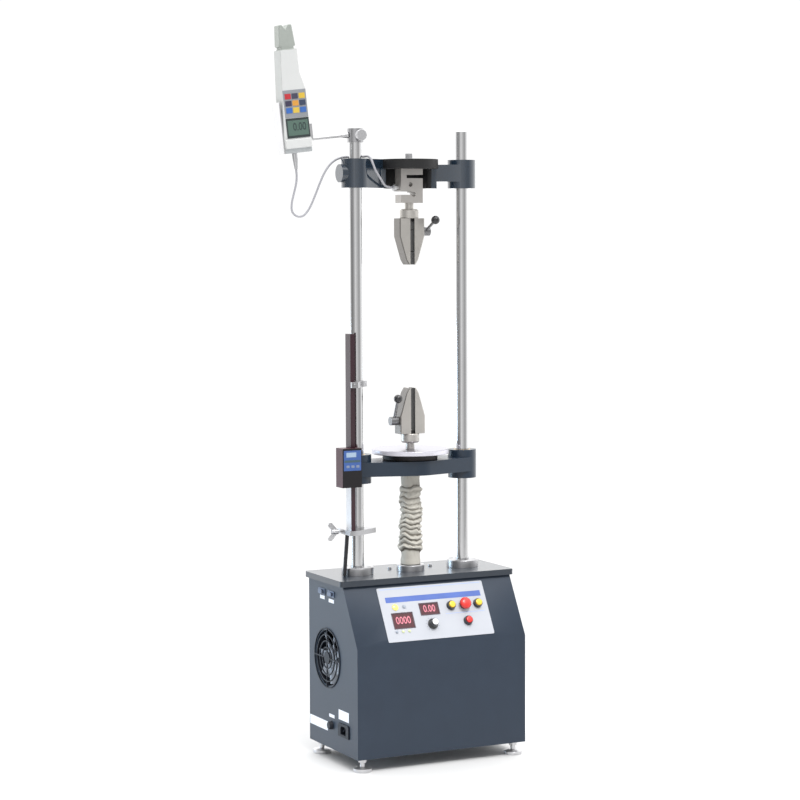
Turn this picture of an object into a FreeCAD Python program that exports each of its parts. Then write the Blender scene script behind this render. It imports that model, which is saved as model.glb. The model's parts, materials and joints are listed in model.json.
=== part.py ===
import FreeCAD, Part
import math
import os

import Sketcher
from FreeCAD import Placement, Rotation, Vector

# Driving sizes in millimetres. Heights are above the floor, x is measured from the test axis
# and y from the middle of the base's depth.
SIZES = {
    "axis_x": 49.43,
    "middle_y": 3.5,
    "fit": 0.05,
    "gap": 0.3,
    # base cabinet
    "floor_gap": 27,
    "base_width": 384,
    "base_depth": 233,
    "front_height": 250,
    "base_top": 380,
    "slope_setback": 67,
    "sheet": 2,
    "plate": 12,
    "plate_overhang": 7,
    "bottom_sheet": 3,
    "foot_inset": 19,
    "foot_d": 38,
    "foot_pad": 10,
    "foot_stem_d": 10,
    "foot_nut": 8,
    # columns
    "column_d": 28,
    "column_span": 244,
    "column_y": 28,
    "column_top": 1290,
    "stub_d": 20,
    "stub_nut": 14,
    "collar_d": 66,
    "collar_height": 16,
    "collar_pcd": 50,
    "bellows_collar_d": 58,
    "bellows_collar_height": 13,
    # crossheads
    "hub_d": 59,
    "hub_height": 59,
    "drum_r": 60,
    "upper_head_z": 1171,
    "roof": 19,
    "pocket_r": 53,
    "lip_x": 43,
    "lip_round": 9,
    "neck_drop": 14,
    "neck_lift": 10,
    "clamp_boss_d": 37,
    "clamp_boss": 7,
    "lower_head_z": 568.5,
    "bow_r": 64,
    "web_drop": 14.5,
    "web": 29,
    "boss_d": 56,
    "boss": 12,
    "bush_d": 36,
    "bush_running": 0.06,
    # table and lift screw
    "table_d": 160,
    "table_thickness": 10,
    "screw_d": 20,
    "screw_end_z": 196,
    # load cell and grips
    "cell_width": 50,
    "cell_depth": 27,
    "cell_height": 70,
    "cell_slot": 7,
    "stud_d": 12,
    "stud": 12,
    "grip_width": 57,
    "grip_depth": 30,
    "grip_body": 95,
    "grip_shoulder": 58,
    "grip_nose_width": 28,
    "grip_slot": 9.6,
    "coupling_d": 39,
    "coupling": 19,
    "grip_neck_d": 18,
    "grip_neck": 12.5,
    "jaw_width": 9,
    "jaw_depth": 18,
    "jaw_height": 46,
    "jaw_open": 1.4,
    "lever_z": 68,
    "lever_hub_d": 18,
    "lever_hub": 17,
    "lever_shaft_d": 8,
    "lever_reach": 51,
    "lever_ball_d": 18,
    # drive
    "nut_d": 30,
    "nut_bore_d": 21,
    "bearing_d": 55,
    "bearing": 13,
    "nut_housing_d": 70,
    "nut_flange_d": 96,
    "nut_flange": 10,
    "nut_housing": 52,
    "pulley_d": 74,
    "motor_pulley_d": 36,
    "pulley": 18,
    "belt": 12,
    "belt_thickness": 3,
    "motor_x": 112,
    "motor_foot": 110,
    "motor_d": 90,
    "motor_length": 130,
    "gearbox": 60,
    "gearbox_width": 80,
    "motor_shaft_d": 14,
    "supply_x": -70,
    "supply_y": -10,
    "supply_length": 160,
    "supply_width": 100,
    "supply_height": 42,
    "board_width": 150,
    "board_height": 120,
    "board_z": 180,
    # bellows
    "bellows_cuff_r": 21,
    "bellows_fold_r": 27,
    "bellows_bore_r": 13,
    "bellows_lower_cuff": 31,
    "bellows_upper_cuff": 29,
    "bellows_folds": 12,
    # control panel on the slope: x, and distance up the slope
    "panel_width": 242,
    "panel_x": 1,
    "panel_foot": 9.5,
    "panel_head": 9.2,
    "overlay": 1.2,
    "main_display_x": -76.5,
    "main_display_s": 53.7,
    "main_display_width": 45,
    "main_display_height": 31.4,
    "speed_display_x": -12.5,
    "speed_display_s": 74.2,
    "speed_display_width": 41,
    "speed_display_height": 23.6,
    "button_d": 14,
    "bezel_d": 18.5,
    "bezel": 2.4,
    "button_proud": 3,
    "button_row_s": 77,
    "left_button_x": 37.5,
    "middle_button_x": 68,
    "right_button_x": 99.5,
    "stop_row_s": 41.5,
    "mushroom_d": 25,
    "knob_x": -13,
    "knob_s": 41,
    "knob_d": 22,
    "knob_height": 14,
    "knob_shaft_d": 6,
    "lamp_row_s": 83,
    "lamp_x": -88,
    "lamp_d": 12,
    "small_lamp_x": -68,
    "small_lamp_d": 6,
    "status_row_s": 30.5,
    "status_x": -97,
    "status_pitch": 14.2,
    "status_d": 4,
    # left side of the cabinet
    "fan_y": 26,
    "fan_z": 212,
    "fan_size": 119,
    "fan_bore_d": 114,
    "fan_thickness": 25,
    "fan_hub_d": 40,
    "fan_tip_gap": 2,
    "fan_blades": 7,
    "guard_d": 124,
    "guard_wire": 2.2,
    "guard_pitch": 13,
    "inlet_y": -52.7,
    "inlet_z": 75.5,
    "inlet_width": 49.5,
    "inlet_height": 27,
    "inlet_flange": 3,
    "inlet_depth": 22,
    "socket_width": 24.5,
    "socket_height": 17,
    "socket_depth": 16,
    "fuse_y": 7.5,
    "fuse_z": 76,
    "fuse_d": 18,
    "port_z": 347,
    "port_front_y": 5,
    "port_back_y": 50,
    "port_width": 30,
    "port_height": 12.5,
    # digital scale beside the left column
    "bar_width": 9.5,
    "bar_depth": 24,
    "bar_offset": 34.4,
    "bar_y": -16,
    "bar_foot_z": 470,
    "bar_top_z": 876,
    "reader_width": 43,
    "reader_depth": 32,
    "reader_offset": 58,
    "reader_y": -27,
    "reader_z": 565.5,
    "reader_height": 79.5,
    "reader_wall": 1.5,
    "bracket_z": 767,
    "bracket_height": 12,
    "bracket_d": 44,
    "scale_clamp_z": 466,
    "scale_clamp_height": 10,
    "rod_d": 8,
    "rod_lean": 7,
    "rod_y": 12,
    # display gauge on the left column's head, in its own tilted frame
    "gauge_z": 1277,
    "gauge_tilt": 6.5,
    "gauge_rise": 2.5,
    "ring_d": 34,
    "ring_height": 28,
    "clamp_knob_d": 23,
    "arm_d": 6,
    "arm_length": 97,
    "holder_tab": 9,
    "holder_sheet": 2.5,
    "holder_height": 103,
    "holder_foot": 31,
    "gauge_width": 59.5,
    "gauge_depth": 34,
    "gauge_low": -24,
    "gauge_head_width": 37,
    "gauge_head_x": 133.5,
    "gauge_shoulder": 103,
    "gauge_flare": 31,
    "gauge_high": 181.5,
    "gauge_cap_width": 36,
    "gauge_cap_end": 28,
    "gauge_cap": 43,
    "gauge_panel_width": 49,
    "gauge_panel_x": 130.5,
    "gauge_panel_low": 7.5,
    "gauge_display": 36,
    "gauge_keypad": 55,
    "cable_d": 4.6,
}

doc = FreeCAD.newDocument("ForceTestStand")
sheet = doc.addObject("Spreadsheet::Sheet", "Sizes")
for row, (alias, value) in enumerate(SIZES.items(), start=1):
    sheet.set(f"A{row}", alias)
    sheet.set(f"B{row}", str(value))
    sheet.setAlias(f"B{row}", alias)
doc.recompute()


class Size:
    """A number together with the spreadsheet formula that gives it."""

    def __init__(self, value, formula):
        self.value = float(value)
        self.formula = formula

    def __add__(self, other):
        other = as_size(other)
        return Size(self.value + other.value, f"({self.formula} + {other.formula})")

    def __radd__(self, other):
        return as_size(other) + self

    def __sub__(self, other):
        other = as_size(other)
        return Size(self.value - other.value, f"({self.formula} - {other.formula})")

    def __rsub__(self, other):
        return as_size(other) - self

    def __mul__(self, other):
        other = as_size(other)
        return Size(self.value * other.value, f"({self.formula} * {other.formula})")

    def __rmul__(self, other):
        return as_size(other) * self

    def __truediv__(self, other):
        other = as_size(other)
        return Size(self.value / other.value, f"({self.formula} / {other.formula})")

    def __neg__(self):
        return Size(-self.value, f"(0 - {self.formula})")


def as_size(value):
    """A plain number becomes a size without a cell."""
    return value if isinstance(value, Size) else Size(value, repr(float(value)))


def root(size):
    """The square root of a size."""
    return Size(math.sqrt(size.value), f"sqrt({size.formula})")


class Cells:
    """The spreadsheet's cells as sizes, by alias."""

    def __getattr__(self, alias):
        return Size(SIZES[alias], f"Sizes.{alias}")


S = Cells()
X_TURN = Rotation(Vector(0, 1, 0), 90)
Y_TURN = Rotation(Vector(1, 0, 0), -90)
TURNS = {"z": Rotation(), "x": X_TURN, "y": Y_TURN}
PLANES = {"xy": "XY_Plane", "xz": "XZ_Plane", "yz": "YZ_Plane"}
sub_parts = []


def bind(item, path, size):
    """Ties one property of an object to the spreadsheet."""
    item.setExpression(path, as_size(size).formula)


def place(item, x=0, y=0, z=0, turn=None):
    """Sets an object's Placement, its position from the spreadsheet."""
    if turn is not None:
        item.Placement = Placement(Vector(), turn)
    for axis, size in (("x", x), ("y", y), ("z", z)):
        bind(item, f"Placement.Base.{axis}", size)
    return item


def finish(item, label, x=0, y=0, z=0, turn=None):
    """Names a finished sub-part and moves it from the test axis to the object's origin."""
    item.Label = label
    place(item, S.axis_x + x, y - S.middle_y, z, turn)
    sub_parts.append(item)
    return item


def block(name, sizes, low):
    """A box given by its three sizes and its lowest corner."""
    item = doc.addObject("Part::Box", name)
    for path, size in zip(("Length", "Width", "Height"), sizes):
        bind(item, path, size)
    return place(item, *low)


def rod(name, diameter, length, start, axis="z"):
    """A cylinder from a start point along one axis."""
    item = doc.addObject("Part::Cylinder", name)
    bind(item, "Radius", as_size(diameter) / 2)
    bind(item, "Height", length)
    return place(item, *start, turn=TURNS[axis])


def cone(name, start_d, end_d, length, start, axis="z"):
    """A cone from a start point along one axis."""
    item = doc.addObject("Part::Cone", name)
    bind(item, "Radius1", as_size(start_d) / 2)
    bind(item, "Radius2", as_size(end_d) / 2)
    bind(item, "Height", length)
    return place(item, *start, turn=TURNS[axis])


def hexagon(name, across_flats, height, start):
    """A hexagonal prism standing on a start point."""
    item = doc.addObject("Part::Prism", name)
    item.Polygon = 6
    bind(item, "Circumradius", as_size(across_flats) / math.sqrt(3))
    bind(item, "Height", height)
    return place(item, *start)


def fuse(name, *items):
    """One solid from several."""
    item = doc.addObject("Part::MultiFuse", name)
    item.Shapes = list(items)
    item.Refine = True
    return item


def cut(name, base, *tools):
    """A base with tools cut out of it."""
    item = doc.addObject("Part::Cut", name)
    item.Base = base
    item.Tool = tools[0] if len(tools) == 1 else fuse(f"{name}_tools", *tools)
    return item


def group(name, *items):
    """Separate solids kept together in one sub-part."""
    item = doc.addObject("Part::Compound", name)
    item.Links = list(items)
    return item


def new_body(name):
    return doc.addObject("PartDesign::Body", name)


def new_sketch(body, plane, lift=0, up=0, turn=None):
    """An empty sketch on one of the body's own planes, lifted along the plane's normal."""
    sketch = body.newObject("Sketcher::SketchObject", f"{body.Name}_sketch")
    face = next(item for item in body.Origin.OriginFeatures if item.Role == PLANES[plane])
    sketch.AttachmentSupport = [(face, "")]
    sketch.MapMode = "FlatFace"
    if turn is not None:
        sketch.AttachmentOffset = Placement(Vector(), turn)
    bind(sketch, "AttachmentOffset.Base.y", up)
    bind(sketch, "AttachmentOffset.Base.z", lift)
    return sketch


def fix(sketch, kind, *where, size):
    """Adds one constraint and ties it to the spreadsheet."""
    size = as_size(size)
    index = sketch.addConstraint(Sketcher.Constraint(kind, *where, size.value))
    sketch.setExpression(f"Constraints[{index}]", size.formula)


def draw(sketch, corners):
    """Draws a closed outline through corners (x, y). A third value is the radius of an arc
    from that corner to the next, which bends left where it is positive and right if negative."""
    corners = [tuple(as_size(value) for value in corner) for corner in corners]
    ends = []
    for index, corner in enumerate(corners):
        follower = corners[(index + 1) % len(corners)]
        start = Vector(corner[0].value, corner[1].value, 0)
        end = Vector(follower[0].value, follower[1].value, 0)
        if len(corner) == 2:
            edge = sketch.addGeometry(Part.LineSegment(start, end))
            ends.append((edge, 1, 2))
            continue
        radius = abs(corner[2].value)
        left = corner[2].value > 0
        first, last = (start, end) if left else (end, start)
        half = (last - first) * 0.5
        across = Vector(-half.y, half.x, 0).normalize()
        middle = first + half + across * math.sqrt(max(radius ** 2 - half.Length ** 2, 0))
        angles = [math.atan2(point.y - middle.y, point.x - middle.x) for point in (first, last)]
        circle = Part.Circle(middle, Vector(0, 0, 1), radius)
        edge = sketch.addGeometry(Part.ArcOfCircle(circle, *angles))
        ends.append((edge, 1, 2) if left else (edge, 2, 1))
    for index, (edge, _, end) in enumerate(ends):
        following, start, _ = ends[(index + 1) % len(ends)]
        sketch.addConstraint(Sketcher.Constraint("Coincident", edge, end, following, start))
    for (edge, start, _), corner in zip(ends, corners):
        fix(sketch, "DistanceX", -1, 1, edge, start, size=corner[0])
        fix(sketch, "DistanceY", -1, 1, edge, start, size=corner[1])
    for (edge, start, _), corner in zip(ends, corners):
        if len(corner) == 3:
            fix(sketch, "Radius", edge, size=corner[2] if start == 1 else -corner[2])


def draw_circle(sketch, x, y, diameter):
    x, y, radius = as_size(x), as_size(y), as_size(diameter) / 2
    circle = Part.Circle(Vector(x.value, y.value, 0), Vector(0, 0, 1), radius.value)
    edge = sketch.addGeometry(circle)
    fix(sketch, "DistanceX", -1, 1, edge, 3, size=x)
    fix(sketch, "DistanceY", -1, 1, edge, 3, size=y)
    fix(sketch, "Radius", edge, size=radius)


def draw_box(sketch, x, y, width, height):
    """Draws a rectangle about its centre."""
    half_width, half_height = as_size(width) / 2, as_size(height) / 2
    x, y = as_size(x), as_size(y)
    draw(sketch, [(x - half_width, y - half_height), (x + half_width, y - half_height),
                  (x + half_width, y + half_height), (x - half_width, y + half_height)])


def feature(body, kind, sketch, length=None, both_ways=False, reverse=False):
    """A Pad or Pocket of a sketch."""
    item = body.newObject(f"PartDesign::{kind}", f"{body.Name}_{kind}")
    item.Profile = sketch
    if both_ways:
        item.SideType = "Symmetric"
    item.Reversed = reverse
    bind(item, "Length", length)
    return item


def pad(body, plane, corners, length, lift=0, both_ways=False):
    sketch = new_sketch(body, plane, lift)
    draw(sketch, corners)
    return feature(body, "Pad", sketch, length, both_ways)


def pad_circles(body, circles, length, lift):
    """Adds upright discs, each (x, y, diameter)."""
    sketch = new_sketch(body, "xy", lift)
    for circle in circles:
        draw_circle(sketch, *circle)
    return feature(body, "Pad", sketch, length)


def bore(body, circles, length, lift):
    """Cuts upright holes, each (x, y, diameter), from a height upwards."""
    sketch = new_sketch(body, "xy", lift)
    for circle in circles:
        draw_circle(sketch, *circle)
    return feature(body, "Pocket", sketch, length, reverse=True)


def pocket(body, plane, corners, length, lift=0, both_ways=True, reverse=False):
    sketch = new_sketch(body, plane, lift)
    draw(sketch, corners)
    return feature(body, "Pocket", sketch, length, both_ways, reverse)


def turned(name, corners):
    """A solid of revolution about Z from an outline of (radius, height) corners."""
    body = new_body(name)
    sketch = new_sketch(body, "xz")
    draw(sketch, corners)
    item = body.newObject("PartDesign::Revolution", f"{name}_turn")
    item.Profile = sketch
    item.ReferenceAxis = (sketch, ["V_Axis"])
    item.Angle = 360
    return body


def dress(body, kind, size, chosen):
    """Fillets or chamfers the edges for which chosen(edge) is true."""
    doc.recompute()
    base = body.Tip
    names = [f"Edge{index}" for index, edge in enumerate(base.Shape.Edges, start=1) if chosen(edge)]
    item = body.newObject(f"PartDesign::{kind}", f"{body.Name}_{kind}")
    item.Base = (base, names)
    bind(item, "Radius" if kind == "Fillet" else "Size", size)
    return item


def upright(edge):
    """True for a straight edge along Z."""
    box = edge.BoundBox
    return box.ZLength > 0.5 and box.XLength < 0.01 and box.YLength < 0.01


# Places that several sub-parts share.
plate_under = S.base_top - S.plate
plate_front = -S.base_depth / 2 + S.slope_setback - S.plate_overhang
plate_back = S.base_depth / 2 + S.plate_overhang
column_x = S.column_span / 2
left_x = -column_x
wall_x = -S.base_width / 2
web_z = S.lower_head_z + S.web_drop
web_top = web_z + S.web
table_z = web_top + S.boss
table_top = table_z + S.table_thickness
head_top = S.upper_head_z + S.hub_height
roof_z = head_top - S.roof
cell_z = roof_z - S.cell_height
grip_length = S.grip_body + S.coupling + S.grip_neck
rise = plate_under - S.front_height
lean = 90 - math.degrees(math.atan2(SIZES["slope_setback"], rise.value))
PANEL_TURN = Rotation(Vector(1, 0, 0), lean)
slope = root(S.slope_setback * S.slope_setback + rise * rise)


def on_panel(item, x=0, s=0, turn=None):
    """Puts an object on the control panel, x across and s up the slope, with Z outwards."""
    along_y = -S.base_depth / 2 + s * S.slope_setback / slope
    along_z = S.front_height + s * rise / slope
    return place(item, x, along_y, along_z, PANEL_TURN if turn is None else PANEL_TURN * turn)


def finish_on_panel(item, label, x=0, s=0):
    """A finished sub-part of the control panel."""
    along_y = -S.base_depth / 2 + s * S.slope_setback / slope
    along_z = S.front_height + s * rise / slope
    return finish(item, label, x, along_y, along_z, PANEL_TURN)


button_places = [(S.left_button_x, S.button_row_s), (S.middle_button_x, S.button_row_s),
                 (S.right_button_x, S.button_row_s), (S.middle_button_x, S.stop_row_s)]
lamp_places = [(S.lamp_x, S.lamp_row_s, S.lamp_d), (S.small_lamp_x, S.lamp_row_s, S.small_lamp_d)]
lamp_places += [(S.status_x + index * S.status_pitch, S.status_row_s, S.status_d) for index in range(3)]
# Corners of the boxed openings and the places of pieces used more than once.
foot_places = [(x, y) for x in (wall_x + S.foot_inset, -wall_x - S.foot_inset)
               for y in (-S.base_depth / 2 + S.foot_inset, S.base_depth / 2 - S.foot_inset)]
column_places = [(-column_x, S.column_y), (column_x, S.column_y)]
collar_screw_places = [(x + sign_x * S.collar_pcd * 0.35355, y + sign_y * S.collar_pcd * 0.35355)
                       for x, y in column_places for sign_x in (-1, 1) for sign_y in (-1, 1)]
collar_screw_d = 5
plate_screw_places = [(-31.3, 62.9), (62.4, 60.6)]


# Base cabinet.
def make_housing():
    """Folded sheet cabinet, open above and below, with a sloping front for the controls."""
    body = new_body("housing")
    half = S.base_depth / 2
    pad(body, "yz", [(-half, S.floor_gap), (half, S.floor_gap), (half, plate_under),
                     (-half + S.slope_setback, plate_under), (-half, S.front_height)],
        S.base_width, both_ways=True)
    # Inside, the slope is set back square to itself by the sheet's thickness.
    fall = S.sheet * S.slope_setback / slope
    inset = S.sheet * rise / slope
    fold_z = S.front_height - fall + (slope - rise) * inset / S.slope_setback
    edge_y = inset + (rise + fall) * S.slope_setback / rise
    pocket(body, "yz", [(-half + S.sheet, S.floor_gap), (half - S.sheet, S.floor_gap),
                        (half - S.sheet, plate_under), (-half + edge_y, plate_under),
                        (-half + S.sheet, fold_z)], S.base_width - 2 * S.sheet)
    side = new_sketch(body, "yz", wall_x)
    draw_circle(side, S.fan_y, S.fan_z, S.fan_bore_d)
    draw_box(side, S.inlet_y, S.inlet_z, S.inlet_width - 2, S.inlet_height - 2)
    draw_circle(side, S.fuse_y, S.fuse_z, S.fuse_d - 5)
    for y in (S.port_front_y, S.port_back_y):
        draw_box(side, y, S.port_z, S.port_width - 10, S.port_height - 3)
    feature(body, "Pocket", side, 4 * S.sheet, both_ways=True)
    # Warm air leaves through a row of slots in the back.
    back = new_sketch(body, "xz", -half)
    for index in range(9):
        draw_box(back, (index - 4) * 14, S.fan_z, 5, 60)
    feature(body, "Pocket", back, 4 * S.sheet, both_ways=True)
    slope_face = new_sketch(body, "xy", S.front_height, -half, PANEL_TURN)
    draw_panel_openings(slope_face)
    feature(body, "Pocket", slope_face, 8 * S.sheet, both_ways=True)
    return finish(body, "housing")


def draw_panel_openings(sketch):
    """The control panel's holes, x across and y up the slope."""
    draw_box(sketch, S.main_display_x, S.main_display_s, S.main_display_width, S.main_display_height)
    draw_box(sketch, S.speed_display_x, S.speed_display_s, S.speed_display_width,
             S.speed_display_height)
    for x, up in button_places:
        draw_circle(sketch, x, up, S.button_d + 2)
    draw_circle(sketch, S.knob_x, S.knob_s, S.knob_shaft_d + 2 * S.fit)
    for x, up, diameter in lamp_places:
        draw_circle(sketch, x, up, diameter)


def make_plates():
    """Bottom sheet and the thick top plate that carries the columns."""
    bottom = new_body("bottom_plate")
    inner_x = S.base_width / 2 - S.sheet - 4 * S.fit
    inner_y = S.base_depth / 2 - S.sheet - 4 * S.fit
    pad(bottom, "xy", [(-inner_x, -inner_y), (inner_x, -inner_y), (inner_x, inner_y),
                       (-inner_x, inner_y)], S.bottom_sheet, S.floor_gap)
    bore(bottom, [(x, y, S.foot_stem_d + 0.4) for x, y in foot_places], S.bottom_sheet, S.floor_gap)
    finish(bottom, "bottom_plate")
    top = new_body("top_plate")
    reach = S.base_width / 2 + S.plate_overhang
    pad(top, "xy", [(-reach, plate_front), (reach, plate_front), (reach, plate_back),
                    (-reach, plate_back)], S.plate, plate_under)
    dress(top, "Fillet", 8, upright)
    holes = [(x, y, S.stub_d + 4 * S.fit) for x, y in column_places]
    holes += [(x, y, collar_screw_d) for x, y in collar_screw_places]
    holes += [(x, y, collar_screw_d) for x, y in plate_screw_places]
    holes += [(0, S.column_y, S.screw_d + 4)]
    bore(top, holes, S.plate, plate_under)
    finish(top, "top_plate")


def make_feet():
    """Four adjustable feet, each a disc on a threaded stem with a lock nut under the sheet."""
    pieces = []
    for index, (x, y) in enumerate(foot_places):
        pad_r = S.foot_d / 2
        stem_r = S.foot_stem_d / 2
        foot = turned(f"foot_{index}", [(0, 0), (pad_r - 1, 0), (pad_r, 1), (pad_r, S.foot_pad - 3),
                                        (stem_r + 4, S.foot_pad), (stem_r, S.foot_pad),
                                        (stem_r, S.floor_gap + 19), (0, S.floor_gap + 19)])
        place(foot, x, y, 0)
        nut_z = S.floor_gap - S.foot_nut
        nut = cut(f"foot_nut_{index}", hexagon(f"foot_hex_{index}", 16, S.foot_nut, (x, y, nut_z)),
                  rod(f"foot_thread_{index}", S.foot_stem_d + 2 * S.fit, S.foot_nut, (x, y, nut_z)))
        pieces += [foot, nut]
    finish(group("levelling_feet", *pieces), "levelling_feet")


def make_columns():
    """Two chromed columns with stepped feet, and the collars screwed down round them."""
    columns = []
    collars = []
    radius = S.column_d / 2
    stub_r = S.stub_d / 2
    stub_z = plate_under - S.stub_nut - 14
    for index, (x, y) in enumerate(column_places):
        column = turned(f"column_{index}", [(0, stub_z), (stub_r - 1, stub_z), (stub_r, stub_z + 1),
                                            (stub_r, S.base_top), (radius, S.base_top),
                                            (radius, S.column_top - 2), (radius - 2, S.column_top),
                                            (0, S.column_top)])
        columns.append(place(column, x, y, 0))
        top = S.base_top + S.collar_height
        ring = turned(f"collar_{index}", [(radius + S.fit, S.base_top), (S.collar_d / 2, S.base_top),
                                          (S.collar_d / 2, top - 1.5), (S.collar_d / 2 - 1.5, top),
                                          (radius + S.fit, top)])
        offset = S.collar_pcd * 0.35355
        screws = [(-offset, -offset), (offset, -offset), (offset, offset), (-offset, offset)]
        bore(ring, [(a, b, collar_screw_d) for a, b in screws], S.collar_height, S.base_top)
        bore(ring, [(a, b, 9) for a, b in screws], 6, top - 6)
        collars.append(place(ring, x, y, 0))
    outer = S.bellows_collar_d / 2
    top = S.base_top + S.bellows_collar_height
    ring = turned("bellows_collar", [(17, S.base_top), (outer, S.base_top), (outer, top - 1.5),
                                     (outer - 1.5, top), (17, top)])
    collars.append(place(ring, 0, S.column_y, 0))
    finish(group("columns", *columns), "columns")
    finish(group("base_collars", *collars), "base_collars")


def socket_screw(name, head_d, head, shank_d, shank, x, y, z):
    """A cap screw with a hexagonal recess, its head standing on height z."""
    body = fuse(f"{name}_body", rod(f"{name}_head", head_d, head, (x, y, z)),
                rod(f"{name}_shank", shank_d, shank, (x, y, z - shank)))
    return cut(name, body, hexagon(f"{name}_recess", head_d * 0.5, head, (x, y, z + head * 0.5)))


def make_fasteners():
    """Column nuts, collar screws, plate screws and the load cell's bolt."""
    pieces = []
    for index, (x, y) in enumerate(column_places):
        low = plate_under - S.stub_nut
        nut = cut(f"column_nut_{index}", hexagon(f"column_hex_{index}", 32, S.stub_nut, (x, y, low)),
                  rod(f"column_thread_{index}", S.stub_d + 2 * S.fit, S.stub_nut, (x, y, low)))
        pieces.append(nut)
    seat = S.base_top + S.collar_height - 6
    for index, (x, y) in enumerate(collar_screw_places):
        pieces.append(socket_screw(f"collar_screw_{index}", 8.6, 5.4, 4.8, 18, x, y, seat))
    for index, (x, y) in enumerate(plate_screw_places):
        pieces.append(socket_screw(f"plate_screw_{index}", 8, 4, 4.8, 10, x, y, S.base_top))
    bolt = fuse("cell_bolt", hexagon("cell_bolt_head", 14.5, 10, (0, S.column_y, head_top + 2)),
                rod("cell_bolt_washer", 20, 2, (0, S.column_y, head_top)),
                rod("cell_bolt_shank", S.stud_d, S.roof + S.stud, (0, S.column_y, roof_z - S.stud)))
    finish(group("frame_fasteners", *pieces, bolt), "frame_fasteners")


# Crossheads.
def tangent(distance, start_r, end_r):
    """Sine and cosine of the slant of a line that touches two circles on one side."""
    sine = (end_r - start_r) / distance
    return sine, root(1 - sine * sine)


def make_upper_crosshead():
    """Casting clamped to both columns. It bows to the back round an open pocket for the cell."""
    body = new_body("upper_crosshead")
    hub = S.hub_d / 2
    bow = S.bow_r
    sine, cosine = tangent(column_x, hub, bow)
    share = hub / (column_x - bow)
    lift = root(1 - share * share)
    front_x = column_x - hub * share
    front_y = -hub * lift
    back_x = column_x + hub * sine
    back_y = hub * cosine
    low = S.upper_head_z
    pad(body, "xy", [(bow, 0), (front_x, front_y, hub), (column_x + hub, 0, hub), (back_x, back_y),
                     (bow * sine, bow * cosine, bow), (-bow * sine, bow * cosine),
                     (-back_x, back_y, hub), (-column_x - hub, 0, hub), (-front_x, front_y),
                     (-bow, 0)], S.hub_height, low)
    pad_circles(body, [(0, 0, 2 * S.drum_r)], S.roof, roof_z)
    # The pocket is round at the back and left, and its right wall ends in a thick rounded lip.
    wide = S.pocket_r
    lip_y = root(wide * wide - S.lip_x * S.lip_x)
    pocket(body, "xy", [(-wide, -wide), (S.lip_x + S.lip_round, -wide),
                        (S.lip_x + S.lip_round, 0, -S.lip_round), (S.lip_x, S.lip_round),
                        (S.lip_x, lip_y, wide), (0, wide, wide), (-wide, 0)],
           S.hub_height - S.roof, low, both_ways=False, reverse=True)
    # The right arm is only a neck between the drum and the hub.
    neck = [(bow, -column_x / 2), (front_x, -column_x / 2), (front_x, front_y, -hub),
            (back_x, back_y), (back_x, back_y + 10), (bow * sine, back_y + bow),
            (bow * sine, bow * cosine, -bow), (bow, 0)]
    for height, start in ((S.neck_drop, low), (S.neck_lift, head_top - S.neck_lift)):
        sketch = new_sketch(body, "xy", start)
        draw(sketch, neck)
        feature(body, "Pocket", sketch, height, reverse=True)
    # A round boss on the left hub covers the clamping screw.
    boss = new_sketch(body, "yz", -column_x - hub - S.clamp_boss)
    draw_circle(boss, 0, low + S.hub_height / 2, S.clamp_boss_d)
    feature(body, "Pad", boss, S.clamp_boss + 12)
    bore(body, [(-column_x, 0, S.column_d + 2 * S.fit), (column_x, 0, S.column_d + 2 * S.fit)],
         S.hub_height, low)
    bore(body, [(0, 0, S.stud_d + 2 * S.fit)], S.roof, roof_z)
    finish(body, "upper_crosshead", 0, S.column_y, 0)


def make_lower_crosshead():
    """Travelling casting: two bushed hubs joined to a round drum that carries the table."""
    body = new_body("lower_crosshead")
    hub = S.hub_d / 2
    bow = S.bow_r
    sine, cosine = tangent(column_x, hub, bow)
    hub_x = column_x + hub * sine
    hub_y = hub * cosine
    drum_x = bow * sine
    drum_y = bow * cosine
    pad(body, "xy", [(-drum_x, -drum_y, bow), (drum_x, -drum_y), (hub_x, -hub_y, hub),
                     (column_x + hub, 0, hub), (hub_x, hub_y), (drum_x, drum_y, bow),
                     (-drum_x, drum_y), (-hub_x, hub_y, hub), (-column_x - hub, 0, hub),
                     (-hub_x, -hub_y)], S.web, web_z)
    pad_circles(body, [(-column_x, 0, S.hub_d), (column_x, 0, S.hub_d)], S.hub_height, S.lower_head_z)
    bore(body, [(-column_x, 0, S.bush_d + 2 * S.fit), (column_x, 0, S.bush_d + 2 * S.fit)],
         S.hub_height, S.lower_head_z)
    bore(body, [(0, 0, S.screw_d + 2 * S.fit)], S.web - 6, web_z)
    finish(body, "lower_crosshead", 0, S.column_y, 0)
    bushes = []
    for index, (x, y) in enumerate(column_places):
        bore_r = S.column_d / 2 + S.bush_running
        top = S.lower_head_z + S.hub_height
        bush = turned(f"bush_{index}", [(bore_r, S.lower_head_z), (S.bush_d / 2, S.lower_head_z),
                                        (S.bush_d / 2, top), (bore_r, top)])
        bushes.append(place(bush, x, y, 0))
    finish(group("guide_bushes", *bushes), "guide_bushes")


def make_table():
    """Round table on its boss, and the lift screw below it."""
    rim = S.table_d / 2
    hole = S.stud_d / 2 + S.fit
    table = turned("table", [(hole, web_top), (S.boss_d / 2, web_top), (S.boss_d / 2, table_z),
                             (rim - 1, table_z), (rim, table_z + 1), (rim, table_top - 1),
                             (rim - 1, table_top), (hole, table_top)])
    finish(table, "table", 0, S.column_y, 0)
    radius = S.screw_d / 2
    top = web_top - 6
    screw = turned("lift_screw", [(0, S.screw_end_z), (radius - 2, S.screw_end_z),
                                  (radius, S.screw_end_z + 2), (radius, top), (0, top)])
    finish(screw, "lift_screw", 0, S.column_y, 0)


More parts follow.
